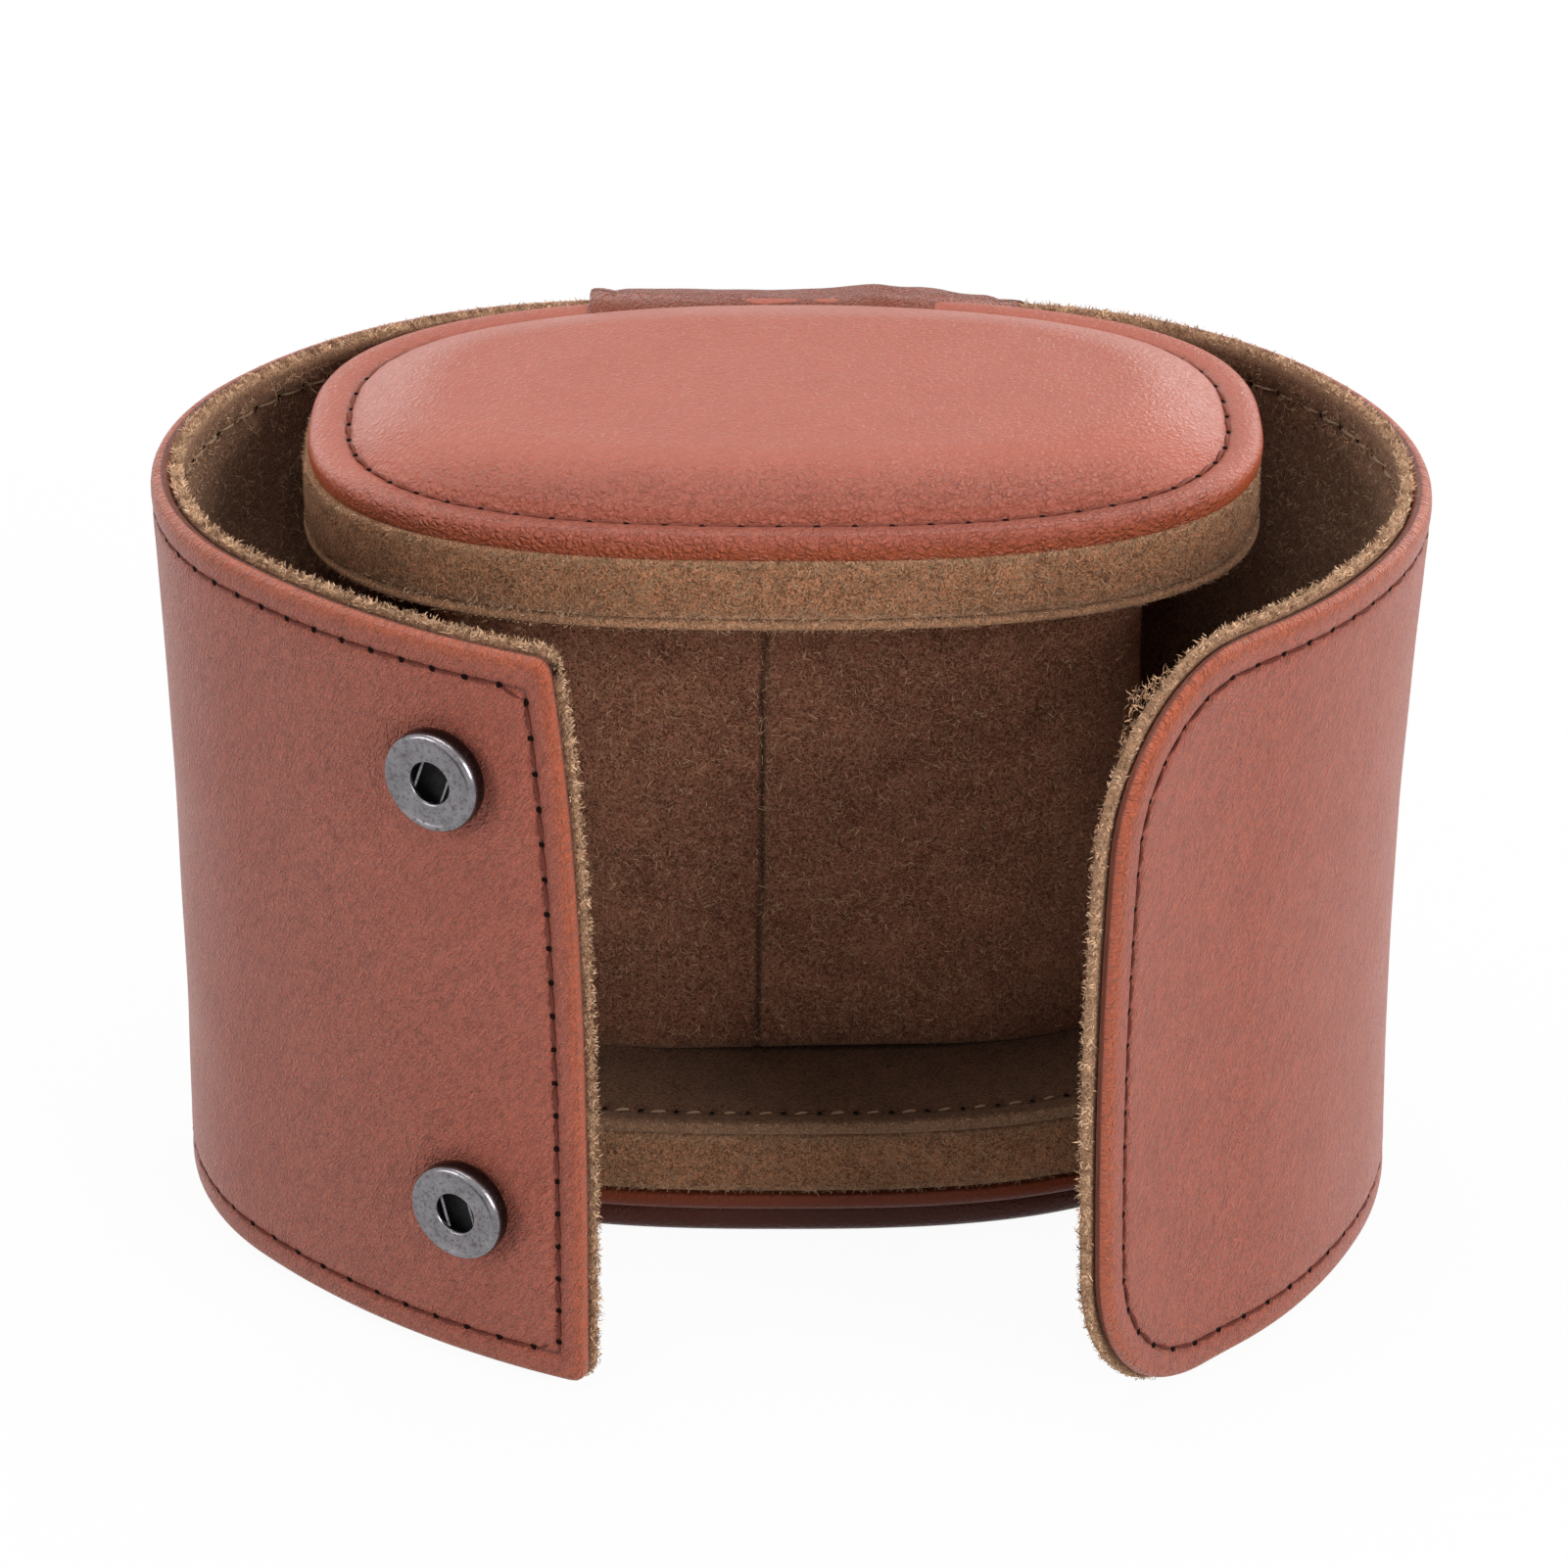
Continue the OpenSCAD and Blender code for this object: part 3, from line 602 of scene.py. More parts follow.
# each panel: plan, start and end along the wrap, the two bodies, the fold between them, half the bend's
# length, the free corner; it stands for the second body's solids
panels = {
    "leftRear": (leftPlan, 0.0, 67.0, "case", "left_side", 48.0, 15.0, None),
    "leftFront": (leftPlan, 67.0, leftPlan.length, "left_side", "left_flap", 86.0, 14.0, 1.8),
    "rightRear": (rightPlan, 0.0, 61.0, "case", "right_side", 46.0, 13.5, None),
    "rightSide": (rightPlan, 61.0, 107.0, "right_side", "right_quarter", 76.0, 13.0, None),
    "rightFront": (rightPlan, 107.0, rightPlan.length, "right_quarter", "right_flap", 138.0, 12.0, 18.0),
}
sockets = {"s": leftPlan.length - 13.75, "z": (20.0, 70.5), "radius": 5.45, "aside": (0.05, -0.36)}
studs = {"s": rightPlan.length - 9.2, "z": (20.0, 70.5)}

# edge profiles, each (distance in from the edge, depth in from the outer face)
leatherRim = [(2.4, 2.08), (0.95, 2.06), (0.42, 1.93), (0.12, 1.6), (0.0, 1.12), (0.06, 0.66), (0.3, 0.28),
              (0.72, 0.06), (1.3, -0.04), (1.9, -0.06), (2.45, -0.04), (2.85, 0.04), (3.08, 0.16),
              (3.3, 0.27), (3.52, 0.16), (3.78, 0.04), (4.2, -0.03), (4.8, -0.05), (5.8, -0.05), (7.2, -0.02)]
boardRim = [(7.2, 1.12), (1.35, 1.12), (1.1, 1.24), (1.05, 1.6), (1.1, 1.96), (1.35, 2.06), (7.2, 2.06)]
liningRim = [(2.6, 2.18), (0.9, 2.18), (0.1, 2.2), (-0.45, 2.3), (-0.78, 2.55), (-0.8, 2.95), (-0.5, 3.26),
             (0.1, 3.38), (0.9, 3.34), (1.9, 3.28), (2.7, 3.18), (3.3, 3.02), (3.9, 3.14), (4.6, 3.24),
             (5.7, 3.24), (7.2, 3.2)]


def cornerPoint(turn, inset, radius, reach):
    # where a ray from the corner's hub meets the rounded outline at this inset
    half = reach - inset
    rho = min(max(radius - inset, 0.35), half * 0.98)
    c, s = math.cos(turn), math.sin(turn)
    flat = half - rho
    if abs(c) > 1e-9 and abs(half * s / c) <= flat:
        return half, half * s / c
    if abs(s) > 1e-9 and abs(half * c / s) <= flat:
        return half * c / abs(s), -half
    cx, cy = flat, -flat
    b = c * cx + s * cy
    r = b + math.sqrt(max(b * b - (cx * cx + cy * cy - rho * rho), 0))
    return r * c, r * s


def flapRings(start, end, radius, reach, rim, cols, corner, rows):
    # the U-shaped rings of a flap's free end: bottom, corner, end, corner, top
    hub = (end - reach, low + reach)
    rings = []
    for inset, depth in rim:
        half = [(start + (hub[0] - start) * i / cols, low + inset) for i in range(cols)]
        half += [(hub[0] + x, hub[1] + y) for x, y in (
            cornerPoint(math.radians(-90 + 90 * i / corner), inset, radius, reach)
            for i in range(corner + 1))]
        side = [(end - inset, hub[1] + (low + high - 2 * hub[1]) * i / rows) for i in range(1, rows)]
        top = [(s, low + high - z) for s, z in reversed(half)]
        rings.append([(s, z, depth, inset) for s, z in half + side + top])
    return np.array(rings)


def flapInside(ring, cols, corner):
    # fills the innermost ring with a patch between its four sides
    half = cols + corner // 2
    bottom = ring[:half + 1]
    top = ring[::-1][:half + 1]
    end = ring[half:len(ring) - half]
    count = len(end)
    left = np.array([ring[0] + (ring[-1] - ring[0]) * i / (count - 1) for i in range(count)])
    patch = np.zeros((count, half + 1, ring.shape[1]))
    for j in range(count):
        v = j / (count - 1)
        for i in range(half + 1):
            u = i / half
            patch[j, i] = ((1 - v) * bottom[i] + v * top[i] + (1 - u) * left[j] + u * end[j]
                           - (1 - u) * (1 - v) * bottom[0] - u * (1 - v) * bottom[-1]
                           - (1 - u) * v * top[0] - u * v * top[-1])
    return patch


def panelSheet(panel, rim):
    # flat points (s, z, depth, inset) and faces of a panel with its turned edges
    start, end, radius = panels[panel][1], panels[panel][2], panels[panel][-1]
    step = wrap["grid"]
    if radius is None:
        cols = round((end - start) / step)
        inside = np.linspace(low + rim[-1][0], high - rim[-1][0], wrap["rows"] + 1)[1:-1]
        column = ([(low + i, d, i) for i, d in rim]
                  + [(z, rim[-1][1], min(z - low, high - z)) for z in inside]
                  + [(high - i, d, i) for i, d in reversed(rim)])
        flat = np.array([[(start + (end - start) * c / cols, z, d, i) for c in range(cols + 1)]
                         for z, d, i in column])
        return flat.reshape(-1, 4), gridFaces(len(column), cols + 1)
    reach = max(radius, wrap["cornerReach"])
    cols = round((end - reach - start) / step)
    corner = 2 * max(6, round(reach * math.pi / 4 / step))
    rows = round((high - low - 2 * reach) / step)
    rings = flapRings(start, end, radius, reach, rim, cols, corner, rows)
    count = rings.shape[1]
    patch = flapInside(rings[-1], cols, corner)
    ph, pw = patch.shape[:2]
    flat = list(rings.reshape(-1, 4))
    faces = gridFaces(len(rim), count)
    half = cols + corner // 2
    index = np.zeros((ph, pw), int)
    last = (len(rim) - 1) * count
    for j in range(ph):
        for i in range(pw):
            if j == 0:
                index[j, i] = last + i
            elif j == ph - 1:
                index[j, i] = last + count - 1 - i
            elif i == pw - 1:
                index[j, i] = last + half + j
            else:
                index[j, i] = len(flat)
                point = patch[j, i].copy()
                point[3] = min(point[1] - low, high - point[1], end - point[0])
                flat.append(point)
    for j in range(ph - 1):
        for i in range(pw - 1):
            faces.append((index[j, i], index[j, i + 1], index[j + 1, i + 1], index[j + 1, i]))
    return np.array(flat), faces


def outline(panel, inset):
    # the panel's stitch or edge line, bottom to top, as flat points
    start, end, radius = panels[panel][1], panels[panel][2], panels[panel][-1]
    if radius is None:
        return [np.array([(start, low + inset), (end, low + inset)]),
                np.array([(end, high - inset), (start, high - inset)])]
    reach = max(radius, wrap["cornerReach"])
    hub = (end - reach, low + reach)
    half = [(start, low + inset)] + [(hub[0] + x, hub[1] + y) for x, y in (
        cornerPoint(math.radians(-90 + 90 * i / 60), inset, radius, reach) for i in range(61))]
    return [np.array(half + [(s, low + high - z) for s, z in reversed(half)])]


def stitchHoles(panel, inset):
    return [spaced(line, wrap["pitch"]) for line in outline(panel, inset)]


# the raw edge's fuzz: tufts, and a share of loose longer hairs
nap = {"gap": 0.018, "spread": 0.4, "depths": (2.2, 2.4, 2.7, 3.0, 3.3), "tuft": 0.58, "thick": 0.075,
       "hair": 1.0, "thin": 0.035, "loose": 0.04}
# the fibres on a suede face; on the wrap's lining they thin out over a depth from its top
pile = {"length": 0.95, "width": 0.05, "lift": 0.32, "down": 26, "perArea": 3.2, "perStep": 20,
        "onCore": 26000}
# each seam of the wrap: the side it faces, its depth and its holes' depth, its look and fineness, and its
# holes' radius
seams = {"Thread": (1, 0.18, 0.1, "thread", 1.0, 0.3), "InnerThread": (-1, 3.02, 3.1, "tan", 0.62, 0.22)}


def scatterPile(name, roots, outs, material, cuts):
    # fibres that lie on a suede face, each a thin strip with its own lie
    many = len(roots)
    draw = np.random.default_rng(5)
    wild = draw.normal(size=(many, 3))
    lie = unit(wild - outs * np.sum(wild * outs, axis=1, keepdims=True))
    wide = np.cross(lie, outs) * pile["width"] * draw.uniform(0.6, 1.2, (many, 1))
    run = pile["length"] * draw.uniform(0.4, 1.2, (many, 1))
    curl = np.cross(lie, outs) * run * draw.uniform(-0.35, 0.35, (many, 1))
    rise = outs * pile["lift"] * run
    foot = roots - outs * 0.03
    middle = roots + lie * run * 0.5 + rise * 0.55 + curl * 0.4
    tip = roots + lie * run + rise * 0.5 + curl
    points = np.stack([foot - wide, foot + wide, middle + wide * 0.8, middle - wide * 0.8, tip], axis=1)
    starts = (np.arange(many) * 5).tolist()
    faces = [(k, k + 1, k + 2, k + 3) for k in starts] + [(k + 3, k + 2, k + 4) for k in starts]
    return makePiece(name, points.reshape(-1, 3), faces, material, np.repeat(cuts, 5, axis=0))


def squeezed(plan, s):
    # 1 where the tongue presses on the wrap's top edge, 0 beside it
    reach = tongue["half"] - plan.side * tongue["aside"]
    return ramped(s, reach + 0.6, -1.4)


def panelLeather(panel, spots, looks):
    plan = panels[panel][0]
    flat, faces = panelSheet(panel, leatherRim)
    s, z, depth, inset = flat.T
    dents = holeMarks(flat[:, :2], spots, 0.42) * (depth < 0.6)
    outer = depth < 1.0
    waves = lumps(np.stack([s * plan.side, z, 0 * z], 1), 14.0, 3.1)
    inwards = depth + 0.22 * dents - outer * 0.10 * waves * ramped(inset, 3, 6)
    if panel == "leftFront":
        # the leather is pressed in under the sockets
        for socketZ, aside in zip(sockets["z"], sockets["aside"]):
            away = np.hypot(s - sockets["s"] - aside, z - socketZ)
            inwards = inwards + outer * 0.32 * hump(np.maximum(away - sockets["radius"], 0), 0.9)
    points = plan.place(s, z, inwards)
    faces = facing(points, faces, plan.outward(s) * (depth < 0.3)[:, None])
    # painted shade: the stitch line is darkened as shade in its groove, the needle holes near black as shade
    # in them, and the rolled edge takes the shaded orange where it turns from the light
    seam = hump(inset - wrap["stitchIn"], 0.2) * (depth < 0.6) * 0.6
    return makePiece(panel + "Leather", points, faces, looks["leather"],
                     np.stack([s * plan.side, z + 10 * (depth > 1.2)], 1),
                     {"hole": np.maximum(dents * 0.6, seam), "rolled": hump(inset - 0.5, 0.75) * 0.85})


def panelLining(panel, spots, looks):
    plan, end, radius = panels[panel][0], panels[panel][2], panels[panel][-1]
    reach = plan.way["reach"]
    flat, faces = panelSheet(panel, [(i * reach if i < 0 else i, d) for i, d in liningRim])
    s, z, depth, inset = flat.T
    inner = depth > 2.9
    dents = holeMarks(flat[:, :2], spots, 0.6) * inner
    spread = np.stack([s * plan.side, z, depth], 1)
    # its raw edge is ragged, along the wrap at a flap's end and up or down elsewhere
    edge = hump(np.maximum(inset + 0.3, 0), 0.8)
    push = edge * (lumps(spread, 0.9, 5.0) * 0.13 + lumps(spread, 2.6, 9.0) * 0.10)
    endPush = np.where((end - s < 1.4) & (radius is not None), push, 0)
    lift = np.where((inset < 1.2) & (endPush == 0), push * np.sign(z - (low + high) / 2), 0)
    lift = lift - squeezed(plan, s) * 0.75 * ramped(z, high - 1.5, 1.5)
    swell = lumps(spread, 1.2, 2.0) * 0.05 + lumps(spread, 6.0, 7.0) * 0.08
    points = plan.place(s + endPush, z + lift, depth - 0.25 * dents + inner * swell)
    faces = facing(points, faces, -plan.outward(s) * (depth > 3.1)[:, None])
    if panel == "leftFront":
        # where the plies part at the top corner, the board shows in the gap, painted near black as shade
        gone = hump(np.hypot(end - s + 0.1, (high - 1.6 - z) * 0.8), 0.8, 4)
        dents = np.maximum(dents, gone * (depth < 3.2))
    return makePiece(panel + "Lining", points, faces, looks["lining"], spread[:, :2],
                     {"hole": dents * 0.9, "fuzz": edge * 0.85 * (1 - dents)})


def panelBoard(panel, looks):
    plan = panels[panel][0]
    flat, faces = panelSheet(panel, boardRim)
    s, z, depth, _ = flat.T
    outs = plan.outward(s) * np.where(depth < 1.2, 1, np.where(depth > 2.0, -1, 0))[:, None]
    points = plan.place(s, z, depth)
    return makePiece(panel + "Board", points, facing(points, faces, outs), looks["board"])


def panelSeam(panel, label, holes, looks):
    plan = panels[panel][0]
    sign, depthAt, holeDepth, look, fine, radius = seams[label]
    starts, ends, outs = [], [], []
    for line in holes:
        at = plan.place(line[:, 0], line[:, 1], depthAt)
        starts += list(at[:-1])
        ends += list(at[1:])
        outs += list(plan.outward((line[:-1, 0] + line[1:, 0]) / 2) * sign)
    run = threadRun(panel + label, starts, ends, outs, looks[look], plan.side * sign, fine)
    spots = np.vstack([plan.place(line[:, 0], line[:, 1], holeDepth) for line in holes])
    alongs = unit(np.vstack([np.gradient(plan.place(line[:, 0], line[:, 1], 0.0), axis=0) for line in holes]))
    outs = np.vstack([plan.outward(line[:, 0]) * sign for line in holes])
    return run, needleHoles(panel + label + "Holes", spots, alongs, outs, looks["hole"], radius)


def panelNap(panel, looks):
    plan, end, radius = panels[panel][0], panels[panel][2], panels[panel][-1]
    points, faces, cuts = [], [], []
    middle = (low + high) / 2
    for line in outline(panel, -0.4 * plan.way["reach"]):
        for s, z in spaced(line, nap["gap"]):
            rootS, rootZ = (at + dice.uniform(-nap["spread"], nap["spread"]) for at in (s, z))
            root = Vector(plan.place(rootS, rootZ, dice.choice(nap["depths"])))
            endWay = 1.0 if radius is not None and end - s < 1.0 else 0.0
            upWay = 0.0 if endWay and low + 3 < z < high - 3 else math.copysign(1, z - middle)
            if upWay > 0 and dice.random() < squeezed(plan, s):
                continue
            forward, across = Vector(plan.forward(s)), -Vector(plan.outward(s))
            out = (forward * endWay + Vector((0, 0, upWay))).normalized()
            out = out * 0.6 + across * dice.uniform(-1.3, 1.1)
            loose = dice.random() < nap["loose"]
            length = nap["hair"] * dice.uniform(0.5, 1.0) if loose else nap["tuft"] * dice.uniform(0.5, 1.2)
            fibreTuft(points, faces, cuts, root, out.normalized(), Vector((0, 0, 1)) if endWay else forward,
                      (rootS * plan.side, rootZ), length * (0.5 if upWay < 0 else 1.0),
                      nap["thin"] if loose else nap["thick"])
    return makePiece(panel + "Nap", [tuple(p) for p in points], faces, looks["fibre"], cuts)


def panelPile(panel, looks):
    plan, start, end = panels[panel][:3]
    draw = np.random.default_rng(int(end))
    many = int((end - start) * pile["down"] * pile["perArea"])
    s, z = draw.uniform(start, end - 2, many), high - 1 - pile["down"] * draw.uniform(0, 1, many) ** 1.3
    return scatterPile(panel + "Pile", plan.place(s, z, 3.24), -plan.outward(s), looks["pile"],
                       np.stack([s * plan.side, z], 1))


def dressWrap(looks):
    made = {}
    for panel in panels:
        holes = stitchHoles(panel, wrap["stitchIn"])
        spots = np.vstack(holes)
        pieces = {"Leather": panelLeather(panel, spots, looks), "Lining": panelLining(panel, spots, looks),
                  "Board": panelBoard(panel, looks)}
        for label in seams:
            pieces[label], pieces[label + "Holes"] = panelSeam(panel, label, holes, looks)
        pieces["Nap"] = panelNap(panel, looks)
        pieces["Pile"] = panelPile(panel, looks)
        made[panel] = pieces
    for label in ("Leather", "Lining"):
        shareNormals([made[panel][label] for panel in panels])
    for panel, (plan, start, end, first, second, fold, reach, _) in panels.items():
        pieces = made[panel]
        a, b = (Vector(plan.place(at, (low + high) / 2, 1.6)) * mm for at in (fold - reach, fold + reach))
        for label, piece in pieces.items():
            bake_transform(piece)
        (end - start) * mm
        for label in ("Leather", "Lining", "Board"):
            for node in (second, "back") if panel == "leftRear" else (second,):
                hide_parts(node + "_" + label.lower())
    return sum(len(piece.data.polygons) for pieces in made.values() for piece in pieces.values())


def shareNormals(pieces):
    # neighbouring pieces take one normal where their points meet
    sums, kept = {}, []
    for piece in pieces:
        mesh = piece.data
        co, no = np.zeros((2, len(mesh.vertices) * 3), np.float32)
        mesh.vertices.foreach_get("co", co)
        mesh.vertex_normals.foreach_get("vector", no)
        co, no = co.reshape(-1, 3), no.reshape(-1, 3)
        keys = [tuple(k) for k in np.round(co * 2e4).astype(int)]
        kept.append((mesh, keys, no.copy()))
        for key, normal in zip(keys, no):
            sums[key] = sums.get(key, 0) + normal.astype(float)
    for mesh, keys, no in kept:
        joined = np.array([sums[k] for k in keys])
        joined /= np.maximum(np.linalg.norm(joined, axis=1, keepdims=True), 1e-9)
        mesh.normals_split_custom_set_from_vertices(joined.tolist())


# ---------------------------------------------------------------- caps and core
oval = {"width": 100.0, "depth": 59.8, "power": 2.63}
caps = {"lidAt": 83.5, "baseAt": 6.8, "band": 6.8, "disc": 1.5, "stitchIn": 3.0,
        "pitch": 3.9, "step": 0.55, "rim": 2.9, "dome": 3.85, "run": 10.6, "power": 1.7,
        "widen": 1.018, "aside": -0.25}
# where the suede sits on each cap: how far out, how tall the band, how it is moved, the same for the disc
seats = {"lid": {"bandOut": 0.8, "bandTall": 1.05, "bandUp": 0.0, "discOut": 0.35, "discTall": 0.77,
                 "discUp": -0.3, "stitchIn": 2.2, "seed": 4.0},
         "base": {"bandOut": 0.35, "bandTall": 1.1, "bandUp": 0.7, "discOut": 0.1, "discTall": 1.0,
                  "discUp": 0.0, "stitchIn": 2.5, "seed": 17.0}}
# edge profiles, each (distance in from the oval, height over the leather's open edge)
coverRim = [(1.6, 0.04), (0.6, 0.0), (0.1, 0.08), (-0.16, 0.36), (-0.3, 0.8), (-0.38, 1.3), (-0.4, 1.75),
            (-0.3, 2.15), (-0.04, 2.5), (0.34, 2.76), (0.82, 2.9), (1.35, 2.93), (1.85, 2.88), (2.3, 2.78),
            (2.65, 2.66), (2.85, 2.52), (3.0, 2.42), (3.16, 2.54), (3.4, 2.82), (3.7, 3.1), (4.1, 3.34)]
# the base's crown is pressed out flat by what stands on it
baseRim = [(1.6, 1.0), (0.7, 0.94), (0.16, 1.0), (-0.06, 1.2), (-0.2, 1.55), (-0.26, 1.9), (-0.2, 2.25),
           (0.02, 2.6), (0.42, 2.84), (0.95, 2.94), (1.5, 2.92), (1.8, 2.86), (1.95, 2.96), (1.8, 3.25),
           (1.5, 3.7), (1.28, 4.4), (1.2, 5.1), (1.32, 5.8), (1.7, 6.35), (2.4, 6.65), (3.4, 6.76)]
discRim = [(2.4, -0.03), (0.5, -0.02), (0.08, -0.2), (-0.1, -0.55), (-0.12, -0.95), (0.04, -1.3),
           (0.4, -1.46), (1.0, -1.5), (1.5, -1.42), (1.85, -1.32), (2.1, -1.26), (2.35, -1.34),
           (2.8, -1.46), (3.5, -1.52), (4.6, -1.54), (6.5, -1.52)]
bandRim = [(2.2, -0.1), (0.85, -0.14), (0.6, -0.4), (0.48, -1.0), (0.45, -2.2), (0.45, -3.4), (0.45, -4.6),
           (0.48, -5.8), (0.6, -6.4), (0.85, -6.66), (2.2, -6.7)]


def ovalAngles(step, width=None, depth=None):
    # angles whose points on the outer oval are evenly spaced
    t = np.linspace(0, 2 * math.pi, 7201)
    run = runAlong(ovalLine(t, 0.0, width, depth))
    count = round(run[-1] / step)
    return np.interp(np.arange(count) * run[-1] / count, run, t)


def ovalLine(t, inset, width=None, depth=None):
    w, d = (width or oval["width"]) / 2 - inset, (depth or oval["depth"]) / 2 - inset
    c, s = np.cos(t), np.sin(t)
    power = 2 / oval["power"]
    return np.stack([w * np.sign(c) * np.abs(c) ** power, d * np.sign(s) * np.abs(s) ** power], axis=-1)


def ovalOut(line):
    # outward directions along a closed line of points
    ahead = np.roll(line, -1, axis=0) - np.roll(line, 1, axis=0)
    return unit(np.stack([ahead[:, 1], -ahead[:, 0]], axis=1))


def crownRise(inset):
    # the padded crown's height over the rim
    x = ramped(inset, caps["stitchIn"], caps["run"])
    return caps["dome"] * (1 - (1 - x) ** caps["power"]) + 0.12 * ramped(inset, 14, 16)


def capSurface(rim, crown, t):
    # rings of (x, y, height, inset) from the rim in, over a domed crown or a flat one, to the middle line
    inner, level = rim[-1]
    insets = inner + (oval["depth"] / 2 - 0.6 - inner) * (np.linspace(0, 1, 44)[1:]) ** 1.15
    profile = list(rim) + [(i, caps["rim"] - 0.1 + crownRise(i) if crown else level) for i in insets]
    return np.array([np.column_stack([ovalLine(t, inset), np.full(len(t), h), np.full(len(t), inset)])
                     for inset, h in profile])


def capFaces(rows, count):
    faces = gridFaces(rows, count, True)
    last = (rows - 1) * count
    # the last ring is nearly a line: its front and back points are joined in pairs
    for i in range(count // 2):
        a, b = last + i, last + i + 1
        c, d = last + (count - i) % count, last + (count - i - 1) % count
        if len({a, b, c, d}) == 4:
            faces.append((a, b, d, c))
        elif len({a, b, c, d}) == 3:
            faces.append(tuple(dict.fromkeys((a, b, d, c))))
    return faces


def ovalHoles(inset):
    t = np.linspace(0, 2 * math.pi, 3000, endpoint=False)
    return spaced(ovalLine(t, inset), caps["pitch"], closed=True)


def ringSeam(name, spots, way, threadLook, holeLook, slant, fine=1.0, short=0.0, lift=0.06, radius=0.3):
    # stitches and needle holes round a closed line that faces up (1) or down (-1)
    ahead = np.roll(spots, -1, axis=0)
    outs = np.tile([0, 0, float(way)], (len(spots), 1))
    gap = (ahead - spots) * short
    alongs = unit(ahead - np.roll(spots, 1, axis=0))
    return [threadRun(name + "Thread", spots + gap, ahead - gap, outs, threadLook, slant, fine),
            needleHoles(name + "Holes", spots + outs * lift, alongs, outs, holeLook, radius)]


def capCover(name, at, way, t, looks):
    holes = ovalHoles(caps["stitchIn"])
    rings = capSurface(coverRim, True, t) if way > 0 else capSurface(baseRim, False, t)
    flat = rings.reshape(-1, 4)
    seed = seats[name]["seed"]
    y, rise, inset = flat[:, 1], flat[:, 2], flat[:, 3]
    dents = holeMarks(flat[:, :2], holes, 0.4) * (inset > 2.4) * (way > 0)
    puff = lumps(flat[:, :3], 16.0, seed) * 0.14 + lumps(flat[:, :3], 6.0, seed) * 0.04
    # the seam wanders, and the crown's edge swells between the stitches
    wander = hump(inset - 3.4, 1.0) * lumps(flat[:, :3], 3.4, seed + 2) * 0.12
    h = rise - 0.2 * dents + puff * ramped(inset, 3.6, 5) + wander
    if way > 0:
        h = h + 0.55 * ramped(y, 0, 30) ** 2 * ramped(inset, 14, -14) - 0.25 - 0.2 * hump(rise, 0.8)
        # painted shade: the crease along the stitches is darkened
        dark = hump(inset - 3.02, 0.24) * 0.5
    else:
        h = np.minimum(h, at - 0.03)
        # the pressed crown and its crease are painted dark, as the shade they lie in
        dark = ramped(rise, 2.7, 0.4) * 0.55
    points = np.column_stack([shaped(flat[:, :2], inset, way), at + way * h])
    faces = facing(points, capFaces(len(rings), len(t)),
                   np.tile([0, 0, way], (len(points), 1)) * (inset > 5)[:, None])
    # painted shade: the rim's lower side takes the shaded orange
    marks = {"hole": np.maximum(dents * 0.5, dark), "rolled": 0.9 * ramped(rise, 2.3, -1.0) * (inset < 2),
             "coarse": ramped(y, -14, -8) * ramped(inset, 12, -6) * (way > 0)}
    cover = makePiece(name + "Cover", points, faces, looks["leather"], flat[:, :2], marks)
    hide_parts(*[name + k for k in ("_cover", "_pad")])
    if way < 0:
        return [cover]
    lifted = 0.55 * ramped(holes[:, 1], 0, 30) ** 2 * (1 - 3 / 14)
    spots = np.column_stack([shaped(holes, caps["stitchIn"], way), at + 2.3 + lifted])
    return [cover] + ringSeam(name, spots, way, looks["thread"], looks["hole"], 1)


def capBand(name, at, way, t, looks):
    seat = seats[name]
    outs = ovalOut(ovalLine(t, 0.0))
    flat = np.array([np.column_stack([ovalLine(t, inset - seat["bandOut"]),
                                      np.full(len(t), h * seat["bandTall"] + seat["bandUp"])])
                     for inset, h in bandRim])
    flat = flat.reshape(-1, 3)
    swell = lumps(flat, 1.1, 31.0 + seat["seed"]) * 0.07 + lumps(flat, 5.0, 8.0 + seat["seed"]) * 0.14
    allOuts = np.tile(outs, (len(bandRim), 1))
    points = np.column_stack([settled(flat[:, :2] + allOuts * swell[:, None], way), at + way * flat[:, 2]])
    faces = facing(points, gridFaces(len(bandRim), len(t), True), upright(allOuts))
    tall = np.repeat([h for _, h in bandRim], len(t))
    edge = hump(np.minimum(-tall - 0.3, tall + 6.5), 0.5)
    band = makePiece(name + "Band", points, faces, looks["band"], None, {"fuzz": edge * 0.45})
    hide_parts(*[name + k for k in ("_band", "_filler")])
    shell = points.reshape(len(bandRim), len(t), 3)
    roots, _, ring = onShell(shell, len(t) * pile["perStep"], 3)
    return [band, scatterPile(name + "Pile", roots, upright(outs)[ring], looks["bandPile"], roots[:, [0, 2]])]


def onShell(shell, many, seed):
    # random points on rings of points, away from the first and last rings, and their rings and columns
    draw = np.random.default_rng(seed)
    row, ring = draw.integers(2, len(shell) - 3, many), draw.integers(0, shell.shape[1], many)
    part = draw.uniform(0, 1, (many, 1))
    return shell[row, ring] * (1 - part) + shell[row + 1, ring] * part, row, ring


